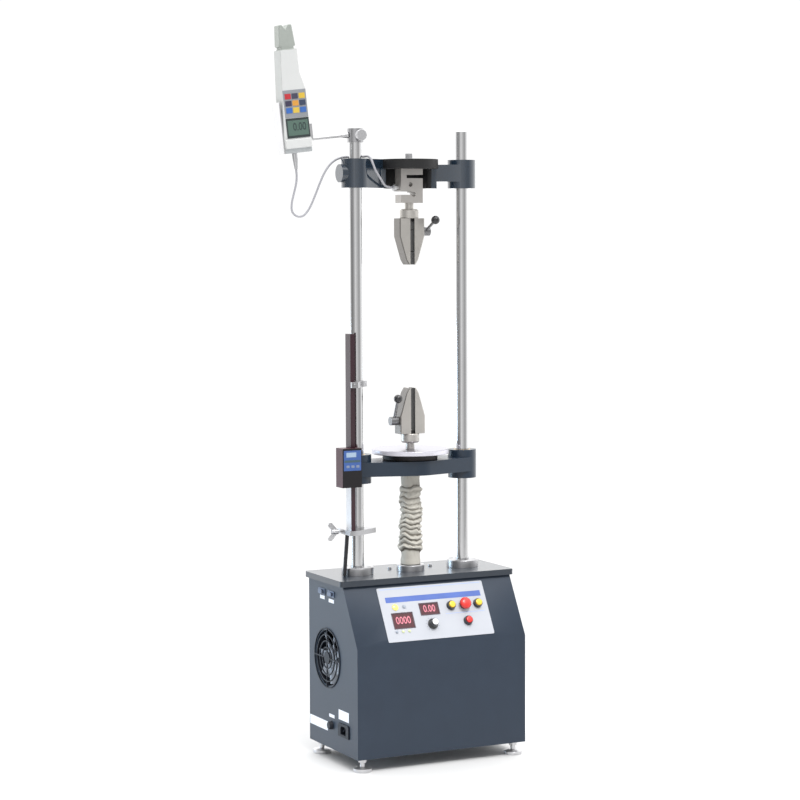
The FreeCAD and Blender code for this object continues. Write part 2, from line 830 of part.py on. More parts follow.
# Load cell and grips.
def make_load_cell():
    """S-shaped load cell hung from the upper crosshead."""
    body = new_body("load_cell")
    half = S.cell_width / 2
    low_slot = 16.5
    high_slot = S.cell_height - low_slot - S.cell_slot + 4
    end = 12
    pad(body, "xz", [(-half, 0), (half, 0), (half, high_slot), (-end, high_slot),
                     (-end, high_slot + S.cell_slot), (half, high_slot + S.cell_slot),
                     (half, S.cell_height), (-half, S.cell_height),
                     (-half, low_slot + S.cell_slot), (end - 10, low_slot + S.cell_slot),
                     (end - 10, low_slot), (-half, low_slot)], S.cell_depth, both_ways=True)
    holes = new_sketch(body, "xz")
    draw_circle(holes, -3, 37.5, 9)
    draw_circle(holes, 4.5, 17.5, 9)
    feature(body, "Pocket", holes, S.cell_depth, both_ways=True)
    bore(body, [(0, 0, S.stud_d + 2 * S.fit)], S.stud, 0)
    bore(body, [(0, 0, S.stud_d + 2 * S.fit)], S.stud, S.cell_height - S.stud)
    finish(body, "load_cell", 0, S.column_y, cell_z)


FLIP = Rotation(Vector(0, 1, 0), 180)


def make_grip(prefix, tip_z, turn, direction, lever_angle):
    """A wedge-shaped grip with a central slot and a jaw that its lever presses.
    Its own frame starts at the tip, with Z towards the coupling."""
    half = S.grip_width / 2
    slot = S.grip_slot / 2
    nose = S.grip_nose_width / 2
    cheeks = new_body(f"{prefix}_grip_body")
    pad(cheeks, "xz", [(slot, 0), (slot + 3, 0), (nose, 10), (half, S.grip_shoulder),
                       (half, S.grip_body), (-half, S.grip_body), (-half, S.grip_shoulder),
                       (-nose, 10), (-slot - 3, 0), (-slot, 0), (-slot, S.grip_body - 7),
                       (slot, S.grip_body - 7)], S.grip_depth, both_ways=True)
    seat_low = S.lever_z - S.jaw_height + 4 - S.gap
    seat_high = S.lever_z + 4 + S.gap
    seat_back = slot + S.jaw_width + S.jaw_open
    pocket(cheeks, "xz", [(0, seat_low), (seat_back, seat_low), (seat_back, seat_high),
                          (0, seat_high)], S.jaw_depth + 6 * S.fit)
    groove = new_sketch(cheeks, "xz", S.grip_depth / 2)
    draw(groove, [(-slot, S.grip_body - 8), (slot, S.grip_body - 8), (slot, S.grip_body + 1),
                  (-slot, S.grip_body + 1)])
    feature(cheeks, "Pocket", groove, 5)
    hole = new_sketch(cheeks, "yz", 0)
    draw_circle(hole, 0, S.lever_z, S.lever_shaft_d)
    feature(cheeks, "Pocket", hole, half + 1, reverse=True)
    dress(cheeks, "Chamfer", 2, lambda edge: outer_edge(edge, S.grip_depth.value / 2, half.value))
    finish(cheeks, f"{prefix}_grip_body", 0, S.column_y, tip_z, turn)
    collar = S.coupling_d / 2
    neck = S.grip_neck_d / 2
    stud = S.stud_d / 2
    top = S.grip_body + S.coupling
    stem = turned(f"{prefix}_grip_stem", [(0, S.grip_body), (collar - 1.5, S.grip_body),
                                          (collar, S.grip_body + 1.5), (collar, top - 3),
                                          (collar - 3, top), (neck, top), (neck, grip_length),
                                          (stud, grip_length), (stud, grip_length + S.stud - 0.5),
                                          (0, grip_length + S.stud - 0.5)])
    finish(stem, f"{prefix}_grip_stem", 0, S.column_y, tip_z, turn)
    jaw = new_body(f"{prefix}_grip_jaw")
    low = S.lever_z - S.jaw_height + 4
    high = S.lever_z + 4
    back = slot + S.jaw_width
    pad(jaw, "xz", [(slot, low + 2), (slot + 2, low), (back, low), (back, high), (slot + 2, high),
                    (slot, high - 2)], S.jaw_depth, both_ways=True)
    finish(jaw, f"{prefix}_grip_jaw", 0, S.column_y, tip_z, turn)
    # The lever turns on the screw that pushes the jaw.
    shaft_start = seat_back + S.gap
    hub_start = half + S.gap
    hub_middle = hub_start + S.lever_hub / 2
    spin = Rotation(Vector(1, 0, 0), lever_angle)
    arm = rod(f"{prefix}_lever_arm", 6, S.lever_reach, (hub_middle, 0, 0))
    lever = fuse(f"{prefix}_lever",
                 rod(f"{prefix}_lever_shaft", S.lever_shaft_d - 2 * S.fit, hub_start - shaft_start + 1,
                     (shaft_start, 0, 0), "x"),
                 rod(f"{prefix}_lever_hub", S.lever_hub_d, S.lever_hub, (hub_start, 0, 0), "x"), arm)
    lever_z = tip_z + direction * S.lever_z
    finish(lever, f"{prefix}_grip_lever", 0, S.column_y, lever_z, turn * spin)
    ball = doc.addObject("Part::Sphere", f"{prefix}_ball")
    bind(ball, "Radius", S.lever_ball_d / 2)
    place(ball, hub_middle, 0, S.lever_reach)
    knob = cut(f"{prefix}_lever_knob", ball,
               rod(f"{prefix}_ball_bore", 6 + 2 * S.fit, S.lever_reach, (hub_middle, 0, 0)))
    finish(knob, f"{prefix}_lever_knob", 0, S.column_y, lever_z, turn * spin)


def outer_edge(edge, half_depth, half_width):
    """True for the outline's edges on a grip's front and back, away from the slot."""
    box = edge.BoundBox
    flat = box.YLength < 0.01 and abs(abs(box.YMin) - half_depth) < 0.01
    middle = abs(box.XMin + box.XMax) / 2
    return flat and middle > 10 and box.ZLength > 5


# Drive inside the cabinet.
def make_screw_drive():
    """Nut with its pulley, the bearings that hold it and their housing under the plate."""
    sleeve = S.nut_d / 2
    bearing_r = S.bearing_d / 2
    low = plate_under - S.nut_housing
    housing = turned("nut_housing", [(bearing_r + S.fit, low), (S.nut_housing_d / 2, low),
                                     (S.nut_housing_d / 2, plate_under - S.nut_flange),
                                     (S.nut_flange_d / 2, plate_under - S.nut_flange),
                                     (S.nut_flange_d / 2, plate_under),
                                     (bearing_r + S.fit, plate_under)])
    finish(housing, "nut_housing", 0, S.column_y, 0)
    rings = []
    for name, start in (("low", low + 2), ("high", plate_under - 4 - S.bearing)):
        ring = turned(f"bearing_{name}", [(sleeve + S.fit, start), (bearing_r, start),
                                          (bearing_r, start + S.bearing),
                                          (sleeve + S.fit, start + S.bearing)])
        rings.append(place(ring, 0, S.column_y, 0))
    finish(group("nut_bearings", *rings), "nut_bearings")
    inner = S.nut_bore_d / 2
    pulley_z = low - 28
    shoulder = low + 2 - S.gap
    nut = turned("screw_nut", [(inner, pulley_z), (S.pulley_d / 2, pulley_z),
                               (S.pulley_d / 2, pulley_z + S.pulley), (sleeve + 5, pulley_z + S.pulley),
                               (sleeve + 5, shoulder), (sleeve, shoulder),
                               (sleeve, plate_under - 2), (inner, plate_under - 2)])
    finish(nut, "screw_nut", 0, S.column_y, 0)
    return pulley_z


def loop(big_r, small_r, distance):
    """The outline round two pulleys, the big one at the origin."""
    sine, cosine = tangent(distance, small_r, big_r)
    return [(0 - big_r, 0, big_r), (big_r * sine, 0 - big_r * cosine),
            (distance + small_r * sine, 0 - small_r * cosine, small_r), (distance + small_r, 0, small_r),
            (distance + small_r * sine, small_r * cosine), (big_r * sine, big_r * cosine, big_r)]


def make_motor(pulley_z):
    """Geared motor on its foot, its pulley, the belt, the power supply and the control board."""
    foot_z = S.floor_gap + S.bottom_sheet
    body_z = foot_z + 10
    gear_z = body_z + S.motor_length
    shaft_r = S.motor_shaft_d / 2
    foot = block("motor_foot", (S.motor_foot, S.motor_foot, 10),
                 (S.motor_x - S.motor_foot / 2, S.column_y - S.motor_foot / 2, foot_z))
    can = rod("motor_can", S.motor_d, S.motor_length, (S.motor_x, S.column_y, body_z))
    gears = block("motor_gears", (S.gearbox_width, S.gearbox_width, S.gearbox),
                  (S.motor_x - S.gearbox_width / 2, S.column_y - S.gearbox_width / 2, gear_z))
    seat = rod("motor_seat", S.motor_shaft_d + 2 * S.fit, 15.3,
               (S.motor_x, S.column_y, gear_z + S.gearbox - 15.3))
    motor = cut("motor", fuse("motor_case", foot, can, gears), seat)
    finish(motor, "motor")
    top = pulley_z + S.pulley
    bottom = gear_z + S.gearbox - 15
    pulley = turned("motor_pulley", [(0, bottom), (shaft_r, bottom), (shaft_r, pulley_z),
                                     (S.motor_pulley_d / 2, pulley_z), (S.motor_pulley_d / 2, top),
                                     (0, top)])
    finish(pulley, "motor_pulley", S.motor_x, S.column_y, 0)
    belt = new_body("drive_belt")
    lift = pulley_z + (S.pulley - S.belt) / 2
    big = S.pulley_d / 2 + S.gap
    small = S.motor_pulley_d / 2 + S.gap
    pad(belt, "xy", loop(big + S.belt_thickness, small + S.belt_thickness, S.motor_x), S.belt, lift)
    pocket(belt, "xy", loop(big, small, S.motor_x), S.belt, lift, both_ways=False, reverse=True)
    finish(belt, "drive_belt", 0, S.column_y, 0)
    supply = new_body("power_supply")
    near_x = S.supply_x - S.supply_length / 2
    far_x = S.supply_x + S.supply_length / 2
    near_y = S.supply_y - S.supply_width / 2
    far_y = S.supply_y + S.supply_width / 2
    pad(supply, "xy", [(near_x, near_y), (far_x, near_y), (far_x, far_y), (near_x, far_y)],
        S.supply_height, foot_z)
    dress(supply, "Chamfer", 2, upright)
    finish(supply, "power_supply")
    board_back = S.base_depth / 2 - S.sheet
    half = S.board_width / 2
    low = S.board_z + 7
    high = S.board_z + S.board_height - 7
    pieces = [block("board", (S.board_width, 1.6, S.board_height), (-half, board_back - 12, S.board_z))]
    for index, (x, z) in enumerate(((7 - half, low), (half - 7, low), (7 - half, high), (half - 7, high))):
        pieces.append(rod(f"board_post_{index}", 6, 10.4, (x, board_back - 10.4, z), "y"))
    pieces.append(block("board_heatsink", (50, 14, 60), (-40, board_back - 26, S.board_z + 20)))
    pieces.append(block("board_transformer", (34, 26, 34), (25, board_back - 38, S.board_z + 25)))
    finish(fuse("control_board", *pieces), "control_board")


# Bellows.
def make_bellows():
    """Folded sleeve round the lift screw, from its collar to the travelling crosshead."""
    start = S.base_top + S.bellows_collar_height + S.gap
    end = web_z - S.gap
    low = start + S.bellows_lower_cuff
    high = end - S.bellows_upper_cuff
    step = (high - low) / S.bellows_folds
    cuff = S.bellows_cuff_r
    outline = [(S.bellows_bore_r, start), (cuff, start)]
    for index in range(SIZES["bellows_folds"]):
        outline.append((cuff, low + step * index))
        outline.append((S.bellows_fold_r, low + step * (index + 0.5)))
    outline += [(cuff, high), (cuff, end), (S.bellows_bore_r, end)]
    finish(turned("bellows", outline), "bellows", 0, S.column_y, 0)


# Control panel.
def make_panel():
    """Printed overlay with its displays, lamps, button bezels, buttons and speed knob."""
    overlay = new_body("control_panel")
    left = S.panel_x - S.panel_width / 2
    right = S.panel_x + S.panel_width / 2
    top = slope - S.panel_head
    pad(overlay, "xy", [(left, S.panel_foot), (right, S.panel_foot), (right, top), (left, top)],
        S.overlay)
    dress(overlay, "Fillet", 3, upright)
    openings = new_sketch(overlay, "xy")
    draw_panel_openings(openings)
    feature(overlay, "Pocket", openings, S.overlay, reverse=True)
    finish_on_panel(overlay, "control_panel")
    windows = []
    for name, x, up, width, height in (
            ("main", S.main_display_x, S.main_display_s, S.main_display_width, S.main_display_height),
            ("speed", S.speed_display_x, S.speed_display_s, S.speed_display_width,
             S.speed_display_height)):
        screen = block(f"{name}_screen", (width - 4 * S.fit, height - 4 * S.fit, 10 + S.overlay - 0.4),
                       (2 * S.fit - width / 2, 2 * S.fit - height / 2, -10))
        rim = block(f"{name}_rim", (width + 8, height + 8, 3),
                    (-4 - width / 2, -4 - height / 2, -3 - S.sheet))
        windows.append(on_panel(fuse(f"{name}_window", screen, rim), x, up))
    finish(group("display_windows", *windows), "display_windows")
    lamps = []
    for index, (x, up, diameter) in enumerate(lamp_places):
        radius = diameter / 2
        lamp = turned(f"lamp_{index}", [(0, -8), (radius - S.fit, -8), (radius - S.fit, S.overlay),
                                        (radius + 1, S.overlay), (radius + 1, S.overlay + 1),
                                        (radius * 0.75, S.overlay + 2.5), (0, S.overlay + 3)])
        lamps.append(on_panel(lamp, x, up))
    finish(group("indicator_lamps", *lamps), "indicator_lamps")
    face = S.overlay + S.bezel
    sleeve_r = S.button_d / 2 + 1 - S.fit
    bore_r = S.button_d / 2
    rim_r = S.bezel_d / 2
    bezels = []
    for index, (x, up) in enumerate(button_places):
        bezel = turned(f"bezel_{index}", [(0, -19), (sleeve_r, -19), (sleeve_r, S.overlay),
                                          (rim_r, S.overlay), (rim_r, face - 1), (rim_r - 1, face),
                                          (bore_r, face), (bore_r, -17), (0, -17)])
        bezels.append(on_panel(bezel, x, up))
        nut = turned(f"bezel_nut_{index}", [(sleeve_r + S.fit, -S.sheet - 3), (rim_r + 2, -S.sheet - 3),
                                            (rim_r + 2, -S.sheet), (sleeve_r + S.fit, -S.sheet)])
        bezels.append(on_panel(nut, x, up))
    finish(group("button_bezels", *bezels), "button_bezels")
    cap_r = bore_r - S.fit
    cap_top = face + S.button_proud
    for label, (x, up) in zip(("up_button", "down_button", "stop_button"),
                              (button_places[0], button_places[2], button_places[3])):
        button = turned(label, [(0, -12), (cap_r, -12), (cap_r, cap_top - 1), (cap_r - 1, cap_top),
                                (0, cap_top)])
        finish_on_panel(button, label, x, up)
    head = S.mushroom_d / 2
    under = face + 4.5
    mushroom = turned("emergency_button", [(0, -12), (cap_r, -12), (cap_r, under), (head, under),
                                           (head, under + 3.5, (head * head + 25) / 10),
                                           (0, under + 8.5)])
    finish_on_panel(mushroom, "emergency_button", *button_places[1])
    shaft = S.knob_shaft_d / 2
    knob_r = S.knob_d / 2
    foot = S.overlay + S.gap
    knob = turned("speed_knob", [(0, -12), (shaft, -12), (shaft, foot), (knob_r, foot),
                                 (knob_r, foot + 3), (knob_r - 2.5, foot + 4.5),
                                 (knob_r - 3.2, foot + S.knob_height - 1),
                                 (knob_r - 4.2, foot + S.knob_height), (0, foot + S.knob_height)])
    finish_on_panel(knob, "speed_knob", S.knob_x, S.knob_s)


# Left side of the cabinet.
def make_fan():
    """Axial fan behind the wall, its rotor and the ring guard outside."""
    half = S.fan_size / 2
    bore_r = S.fan_bore_d / 2
    frame = new_body("fan_frame")
    pad(frame, "xy", [(-half, -half), (half, -half), (half, half), (-half, half)], S.fan_thickness)
    dress(frame, "Fillet", 6, upright)
    bore(frame, [(0, 0, S.fan_bore_d)], S.fan_thickness, 0)
    pad(frame, "xy", [(-bore_r - 1, -3), (bore_r + 1, -3), (bore_r + 1, 3), (-bore_r - 1, 3)], 4,
        S.fan_thickness - 4)
    pad(frame, "xy", [(-3, -bore_r - 1), (3, -bore_r - 1), (3, bore_r + 1), (-3, bore_r + 1)], 4,
        S.fan_thickness - 4)
    pad_circles(frame, [(0, 0, S.fan_hub_d)], 4, S.fan_thickness - 4)
    bore(frame, [(0, 0, 6 + 2 * S.fit)], 4, S.fan_thickness - 4)
    finish(frame, "fan_frame", wall_x + S.sheet, S.fan_y, S.fan_z, X_TURN)
    rotor = new_body("fan_rotor")
    pad_circles(rotor, [(0, 0, S.fan_hub_d)], S.fan_thickness - 7, 2)
    pad_circles(rotor, [(0, 0, 6)], 4, S.fan_thickness - 5)
    reach = root(bore_r * bore_r - 144) - S.fan_tip_gap
    blade = pad(rotor, "xz", [(-11, 4, 26), (10, 18), (9, 19.5, -28), (-11, 6)], reach - 15, -reach)
    fan = rotor.newObject("PartDesign::PolarPattern", "fan_blades")
    fan.Originals = [blade]
    fan.Axis = (axis_of(rotor, "Z_Axis"), [""])
    fan.Angle = 360
    fan.Occurrences = SIZES["fan_blades"]
    rotor.Tip = fan
    finish(rotor, "fan_rotor", wall_x + S.sheet, S.fan_y, S.fan_z, X_TURN)
    guard = new_body("fan_guard")
    wire = S.guard_wire
    outer = S.guard_d / 2
    reach = outer - wire / 2
    thin = wire / 2
    pad(guard, "xy", [(-thin, -reach), (thin, -reach), (thin, -thin), (reach, -thin), (reach, thin),
                      (thin, thin), (thin, reach), (-thin, reach), (-thin, thin), (-reach, thin),
                      (-reach, -thin), (-thin, -thin)], wire, -wire)
    rings = new_sketch(guard, "xy", -wire)
    for index in range(4):
        draw_circle(rings, 0, 0, 2 * (outer - index * S.guard_pitch))
        draw_circle(rings, 0, 0, 2 * (outer - index * S.guard_pitch - wire))
    feature(guard, "Pad", rings, wire)
    pad_circles(guard, [(0, 0, 26)], wire, -wire)
    finish(guard, "fan_guard", wall_x, S.fan_y, S.fan_z, X_TURN)


def axis_of(body, role):
    return next(item for item in body.Origin.OriginFeatures if item.Role == role)


def chamfered(width, height, corner):
    """A rectangle about the origin with its two upper corners cut off."""
    half_width = width / 2
    half_height = height / 2
    return [(-half_width, -half_height), (half_width, -half_height), (half_width, half_height - corner),
            (half_width - corner, half_height), (corner - half_width, half_height),
            (-half_width, half_height - corner)]


def make_sockets():
    """Mains inlet, fuse holder and two signal sockets on the left wall."""
    inlet = new_body("mains_inlet")
    pad(inlet, "yz", chamfered(S.inlet_width, S.inlet_height, 4), S.inlet_flange, -S.inlet_flange)
    pad(inlet, "yz", chamfered(S.inlet_width - 2.4, S.inlet_height - 2.4, 3), S.inlet_depth)
    pocket(inlet, "yz", chamfered(S.socket_width, S.socket_height, 4), S.socket_depth,
           -S.inlet_flange, both_ways=False, reverse=True)
    pins = new_sketch(inlet, "yz", S.socket_depth - S.inlet_flange)
    for y, z in ((-7, -2), (7, -2), (0, 3)):
        draw_box(pins, y, z, 2, 4)
    feature(inlet, "Pad", pins, S.socket_depth - 4, reverse=True)
    finish(inlet, "mains_inlet", wall_x, S.inlet_y, S.inlet_z)
    radius = S.fuse_d / 2
    fuse_holder = turned("fuse_holder", [(0, -8), (radius - 2, -8), (radius - 1, -6), (radius, 0),
                                         (radius - 2.5 - S.fit, 0), (radius - 2.5 - S.fit, 28),
                                         (0, 28)])
    finish(fuse_holder, "fuse_holder", wall_x, S.fuse_y, S.fuse_z, X_TURN)
    ports = []
    for name, y in (("front", S.port_front_y), ("back", S.port_back_y)):
        port = new_body(f"{name}_port")
        pad(port, "yz", chamfered(S.port_width, S.port_height, 1), 2, -2)
        pad(port, "yz", chamfered(S.port_width - 10.2, S.port_height - 3.2, 1), 12)
        pad(port, "yz", chamfered(S.port_width - 12, S.port_height - 4, 2), 4, -6)
        ports.append(place(port, wall_x, y, S.port_z))
    finish(group("signal_sockets", *ports), "signal_sockets")


# Digital scale beside the left column.
def make_scale():
    """Graduated bar held beside the left column, and the reader that slides along it."""
    bar_x = left_x - S.bar_offset
    bar_end_x = bar_x + S.bar_width
    bar_back = S.bar_y + S.bar_depth
    bar = block("scale_bar", (S.bar_width, S.bar_depth, S.bar_top_z - S.bar_foot_z), (0, 0, 0))
    finish(bar, "scale_bar", bar_x, S.bar_y, S.bar_foot_z)
    reader = new_body("reader_case")
    reader_x = left_x - S.reader_offset
    right = reader_x + S.reader_width
    back = S.reader_y + S.reader_depth
    plate_y = S.column_y - S.hub_d / 2 - S.fit
    inner_x = bar_end_x + S.gap
    pad(reader, "xy", [(reader_x, S.reader_y), (right, S.reader_y), (right, plate_y),
                       (inner_x + S.reader_wall, plate_y), (inner_x + S.reader_wall, back),
                       (inner_x, back), (inner_x, S.bar_y - S.gap), (bar_x - S.gap, S.bar_y - S.gap),
                       (bar_x - S.gap, back), (reader_x, back)], S.reader_height, S.reader_z)
    link = block("reader_link", (left_x - 4.5 - right, 3.4, 43), (right, plate_y - 3.4, 584.5))
    holes = [rod(f"link_hole_{index}", 4.2, 3.4, (left_x - 9, plate_y - 3.4, z), "y")
             for index, z in enumerate((605.5, 620.9))]
    screws = [fuse(f"link_screw_{index}",
                   rod(f"link_head_{index}", 8, 2.5, (left_x - 9, plate_y - 5.9, z), "y"),
                   rod(f"link_shank_{index}", 4, 3.4, (left_x - 9, plate_y - 3.4, z), "y"))
              for index, z in enumerate((605.5, 620.9))]
    finish(group("scale_reader", reader, cut("reader_plate", link, *holes), *screws), "scale_reader")
    radius = S.column_d / 2
    upper = new_body("upper_bracket")
    pad(upper, "xy", [(bar_x, bar_back), (bar_x, S.bar_y - 6), (bar_end_x + 5, S.bar_y - 6),
                      (left_x + 8, S.column_y - 12), (left_x, S.column_y)],
        S.bracket_height, S.bracket_z)
    pad_circles(upper, [(left_x, S.column_y, S.bracket_d)], S.bracket_height, S.bracket_z)
    bore(upper, [(left_x, S.column_y, S.column_d + 2 * S.fit)], S.bracket_height, S.bracket_z)
    slot = new_sketch(upper, "xy", S.bracket_z)
    draw(slot, [(bar_x - 1, S.bar_y), (bar_end_x, S.bar_y), (bar_end_x, bar_back),
                (bar_x - 1, bar_back)])
    feature(upper, "Pocket", slot, S.bracket_height, reverse=True)
    middle = bar_x + S.bar_width / 2
    screw_z = S.bracket_z + S.bracket_height / 2
    pin = rod("bracket_screw", 7, 3, (middle + 2, S.bar_y - 9, screw_z), "y")
    finish(group("scale_brackets", upper, pin), "scale_brackets")
    clamp = new_body("scale_clamp")
    left = bar_x - 4
    pad(clamp, "xy", [(left, S.bar_y - 4), (bar_end_x + 4, S.bar_y - 4), (left_x + 34, 11),
                      (left_x + 20, S.column_y + 14), (left_x, S.column_y + 24),
                      (left, S.column_y + 16)],
        S.scale_clamp_height, S.scale_clamp_z)
    seat = new_sketch(clamp, "xy", S.bar_foot_z)
    draw(seat, [(bar_x, S.bar_y), (bar_end_x, S.bar_y), (bar_end_x, bar_back), (bar_x, bar_back)])
    feature(clamp, "Pocket", seat, S.scale_clamp_height, reverse=True)
    bore(clamp, [(left_x, S.column_y, S.column_d + 2 * S.fit)], S.scale_clamp_height, S.scale_clamp_z)
    thread = new_sketch(clamp, "yz", left)
    screw_z = S.scale_clamp_z + S.scale_clamp_height / 2
    draw_circle(thread, S.column_y, screw_z, 5 + 2 * S.fit)
    feature(clamp, "Pocket", thread, left_x - radius - left + 1, reverse=True)
    finish(clamp, "scale_clamp")
    # The wing screw is drawn along its own axis, from the column outwards.
    tip_x = left_x - radius - S.gap
    length = tip_x - left
    blades = new_body("wing_blades")
    pad(blades, "xz", [(-5, length + 8), (5, length + 8), (9, length + 12), (18.5, length + 20),
                       (18.5, length + 26), (13, length + 29), (5, length + 22), (-5, length + 22),
                       (-13, length + 29), (-18.5, length + 26), (-18.5, length + 20),
                       (-9, length + 12)], 4, both_ways=True)
    screw = fuse("wing_screw", rod("wing_shank", 5, length + 12, (0, 0, 0)), blades,
                 cone("wing_hub", 12, 10, 14, (0, 0, length + 6)))
    finish(screw, "wing_screw", tip_x, S.column_y, screw_z, Rotation(Vector(0, 1, 0), -90))
    # A plain rod leans between the plate and the clamp, behind the bar's foot.
    rod_r = S.rod_d / 2
    end_r = rod_r - 1.5
    drop = S.scale_clamp_z - S.base_top
    reach = root(drop * drop + S.rod_lean * S.rod_lean)
    settle = end_r * S.rod_lean / drop
    length = reach - 2 * settle - 2 * S.fit
    support = turned("support_rod", [(0, 0), (end_r, 0), (rod_r, 1.5), (rod_r, length - 1.5),
                                     (end_r, length), (0, length)])
    angle = math.degrees(math.atan2(SIZES["rod_lean"], drop.value))
    finish(support, "support_rod", bar_x - 3, S.rod_y, S.base_top + settle + S.fit,
           Rotation(Vector(0, 1, 0), angle))


# Display gauge.
GAUGE_TURN = Rotation(Vector(0, 1, 0), -SIZES["gauge_tilt"])


def finish_on_arm(item, label):
    """A finished sub-part of the gauge, whose frame is tilted about the left column's axis."""
    return finish(item, label, left_x, S.column_y, S.gauge_z + S.gauge_rise, GAUGE_TURN)


def make_gauge():
    """Hand-held display gauge in a holder on an arm, clamped to the head of the left column."""
    ring_low = S.gauge_z - S.ring_height / 2
    clamp = new_body("gauge_clamp")
    pad_circles(clamp, [(0, 0, S.ring_d)], S.ring_height, ring_low)
    boss_y = S.ring_d / 2 + 5
    for kind, diameter, length in (("Pad", 15, 10), ("Pocket", 5, 12)):
        face = new_sketch(clamp, "xz", boss_y)
        draw_circle(face, 0, S.gauge_z, diameter)
        feature(clamp, kind, face, length, reverse=kind == "Pad")
    bore(clamp, [(0, 0, S.column_d + 2 * S.fit)], S.ring_height, ring_low)
    finish(clamp, "gauge_clamp", left_x, S.column_y, 0)
    # The clamping screw's tip meets the column and its knob stands in front of the boss.
    radius = S.column_d / 2
    reach = boss_y - radius
    head = doc.addObject("Part::Prism", "clamp_knob_head")
    head.Polygon = 10
    bind(head, "Circumradius", S.clamp_knob_d / 2)
    bind(head, "Height", 10)
    place(head, 0, 0, reach)
    knob = fuse("clamp_knob", rod("clamp_knob_shaft", 5 - 2 * S.fit, reach + 5, (0, 0, 0)), head)
    finish(knob, "clamp_knob", left_x, S.column_y - radius - S.gap, S.gauge_z, Rotation(Vector(1, 0, 0), 90))
    inner = S.ring_d / 2 + 0.85
    near = S.arm_length + S.holder_tab
    far = near + S.gauge_width
    plate = far + S.holder_sheet
    depth = S.gauge_depth / 2
    tab = S.holder_foot
    arm = fuse("gauge_arm",
               cone("arm_boss", 7, 13, 14, (-inner - 14, 0, 0), "x"),
               rod("arm_rod", S.arm_d, S.arm_length - inner, (-S.arm_length, 0, 0), "x"),
               block("arm_tab", (S.holder_tab, 16, tab), (-near, -8, 0)),
               block("arm_back", (plate - S.arm_length, S.holder_sheet, tab), (-plate, depth, 0)),
               block("arm_tie", (S.holder_tab, depth - 7, tab), (-near, 7, 0)),
               block("arm_side", (S.holder_sheet, 2 * depth + S.holder_sheet, S.holder_height),
                     (-plate, -depth, S.gauge_low)))
    finish_on_arm(arm, "gauge_arm")
    # The body narrows upwards on its left side and steps in above the keypad on its right.
    gauge = new_body("gauge_body")
    half = S.gauge_head_width / 2
    head_left = -S.gauge_head_x - half
    head_right = half - S.gauge_head_x
    flare = S.gauge_shoulder + S.gauge_flare
    pad(gauge, "xz", [(-far, S.gauge_low), (-near, S.gauge_low), (-near, S.gauge_shoulder),
                      (head_right, flare), (head_right, S.gauge_high), (head_left, S.gauge_high),
                      (-far, 0)], S.gauge_depth, both_ways=True)
    wide = S.gauge_cap_width / 2
    slim = S.gauge_cap_end / 2
    cap_low = S.gauge_high + 6
    cap_high = cap_low + S.gauge_cap
    middle = -S.gauge_head_x
    pad(gauge, "xz", [(middle - 14, S.gauge_high - 1), (middle + 14, S.gauge_high - 1),
                      (middle + 14, cap_low), (middle + wide, cap_low), (middle + slim, cap_high),
                      (middle + 7, cap_high), (middle, cap_high - 9), (middle - 7, cap_high),
                      (middle - slim, cap_high), (middle - wide, cap_low), (middle - 14, cap_low)],
        S.gauge_depth - 10, both_ways=True)
    finish_on_arm(gauge, "gauge_body")
    face = depth + 0.8
    low = S.gauge_panel_low
    left = -S.gauge_panel_x - S.gauge_panel_width / 2
    panel = fuse("gauge_panel",
                 block("gauge_display", (S.gauge_panel_width, 0.8, S.gauge_display), (left, -face, low)),
                 block("gauge_keys", (S.gauge_panel_width - 1, 0.8, S.gauge_keypad),
                       (left + 1, -face, low + S.gauge_display)))
    finish_on_arm(panel, "gauge_panel")


# Signal cable.
CABLE_POINTS = [
    (-253.5, 28, 1207.7), (-251.9, 28, 1193.5), (-253.6, 28, 1179.2), (-257, 28, 1165.3),
    (-261, 28, 1151.8), (-263.9, 28, 1138.5), (-264.3, 28, 1126), (-260.1, 28, 1118.2),
    (-252.6, 28, 1113.3), (-243.8, 28, 1112.6), (-235.6, 28, 1116.2), (-226.6, 28.2, 1126.6),
    (-219.4, 28.7, 1138.6), (-213.3, 29.3, 1151.7), (-207.1, 30.4, 1164.5), (-201.1, 31.7, 1177.4),
    (-194.7, 33.4, 1190.1), (-187.4, 35.3, 1202.2), (-179, 37.8, 1213.1), (-169, 41, 1222.2),
    (-157.4, 45.1, 1228.8), (-144.7, 50.3, 1232.8), (-131, 54, 1234.5), (-117, 52.5, 1234.8),
    (-106.2, 43.2, 1234.7), (-100.8, 30, 1234.8), (-99.5, 15.8, 1235.4), (-99.9, 2.6, 1231.6),
    (-99, -5.4, 1220.6), (-93.6, -5.2, 1207.6), (-84.8, -0.6, 1197.3), (-75, 6.6, 1189.2),
    (-64.6, 16.4, 1180.6), (-53.4, 26.4, 1173.6), (-39.5, 28, 1172.5)]


def cable_path(points):
    """Straight runs joined by tangent arcs, each as large as its two runs allow."""
    edges = []
    radii = []
    last = points[0]
    for before, corner, after in zip(points, points[1:], points[2:]):
        arriving = (corner - before).normalize()
        leaving = (after - corner).normalize()
        half_turn = arriving.getAngle(leaving) / 2
        reach = 0.45 * min(before.distanceToPoint(corner), corner.distanceToPoint(after))
        radii.append(reach / math.tan(half_turn))
        start = corner - arriving * reach
        end = corner + leaving * reach
        inward = (leaving - arriving).normalize()
        middle = corner + inward * (radii[-1] / math.cos(half_turn) - radii[-1])
        edges.append(Part.LineSegment(last, start).toShape())
        edges.append(Part.Arc(start, middle, end).toShape())
        last = end
    edges.append(Part.LineSegment(last, points[-1]).toShape())
    return Part.Wire(edges), radii


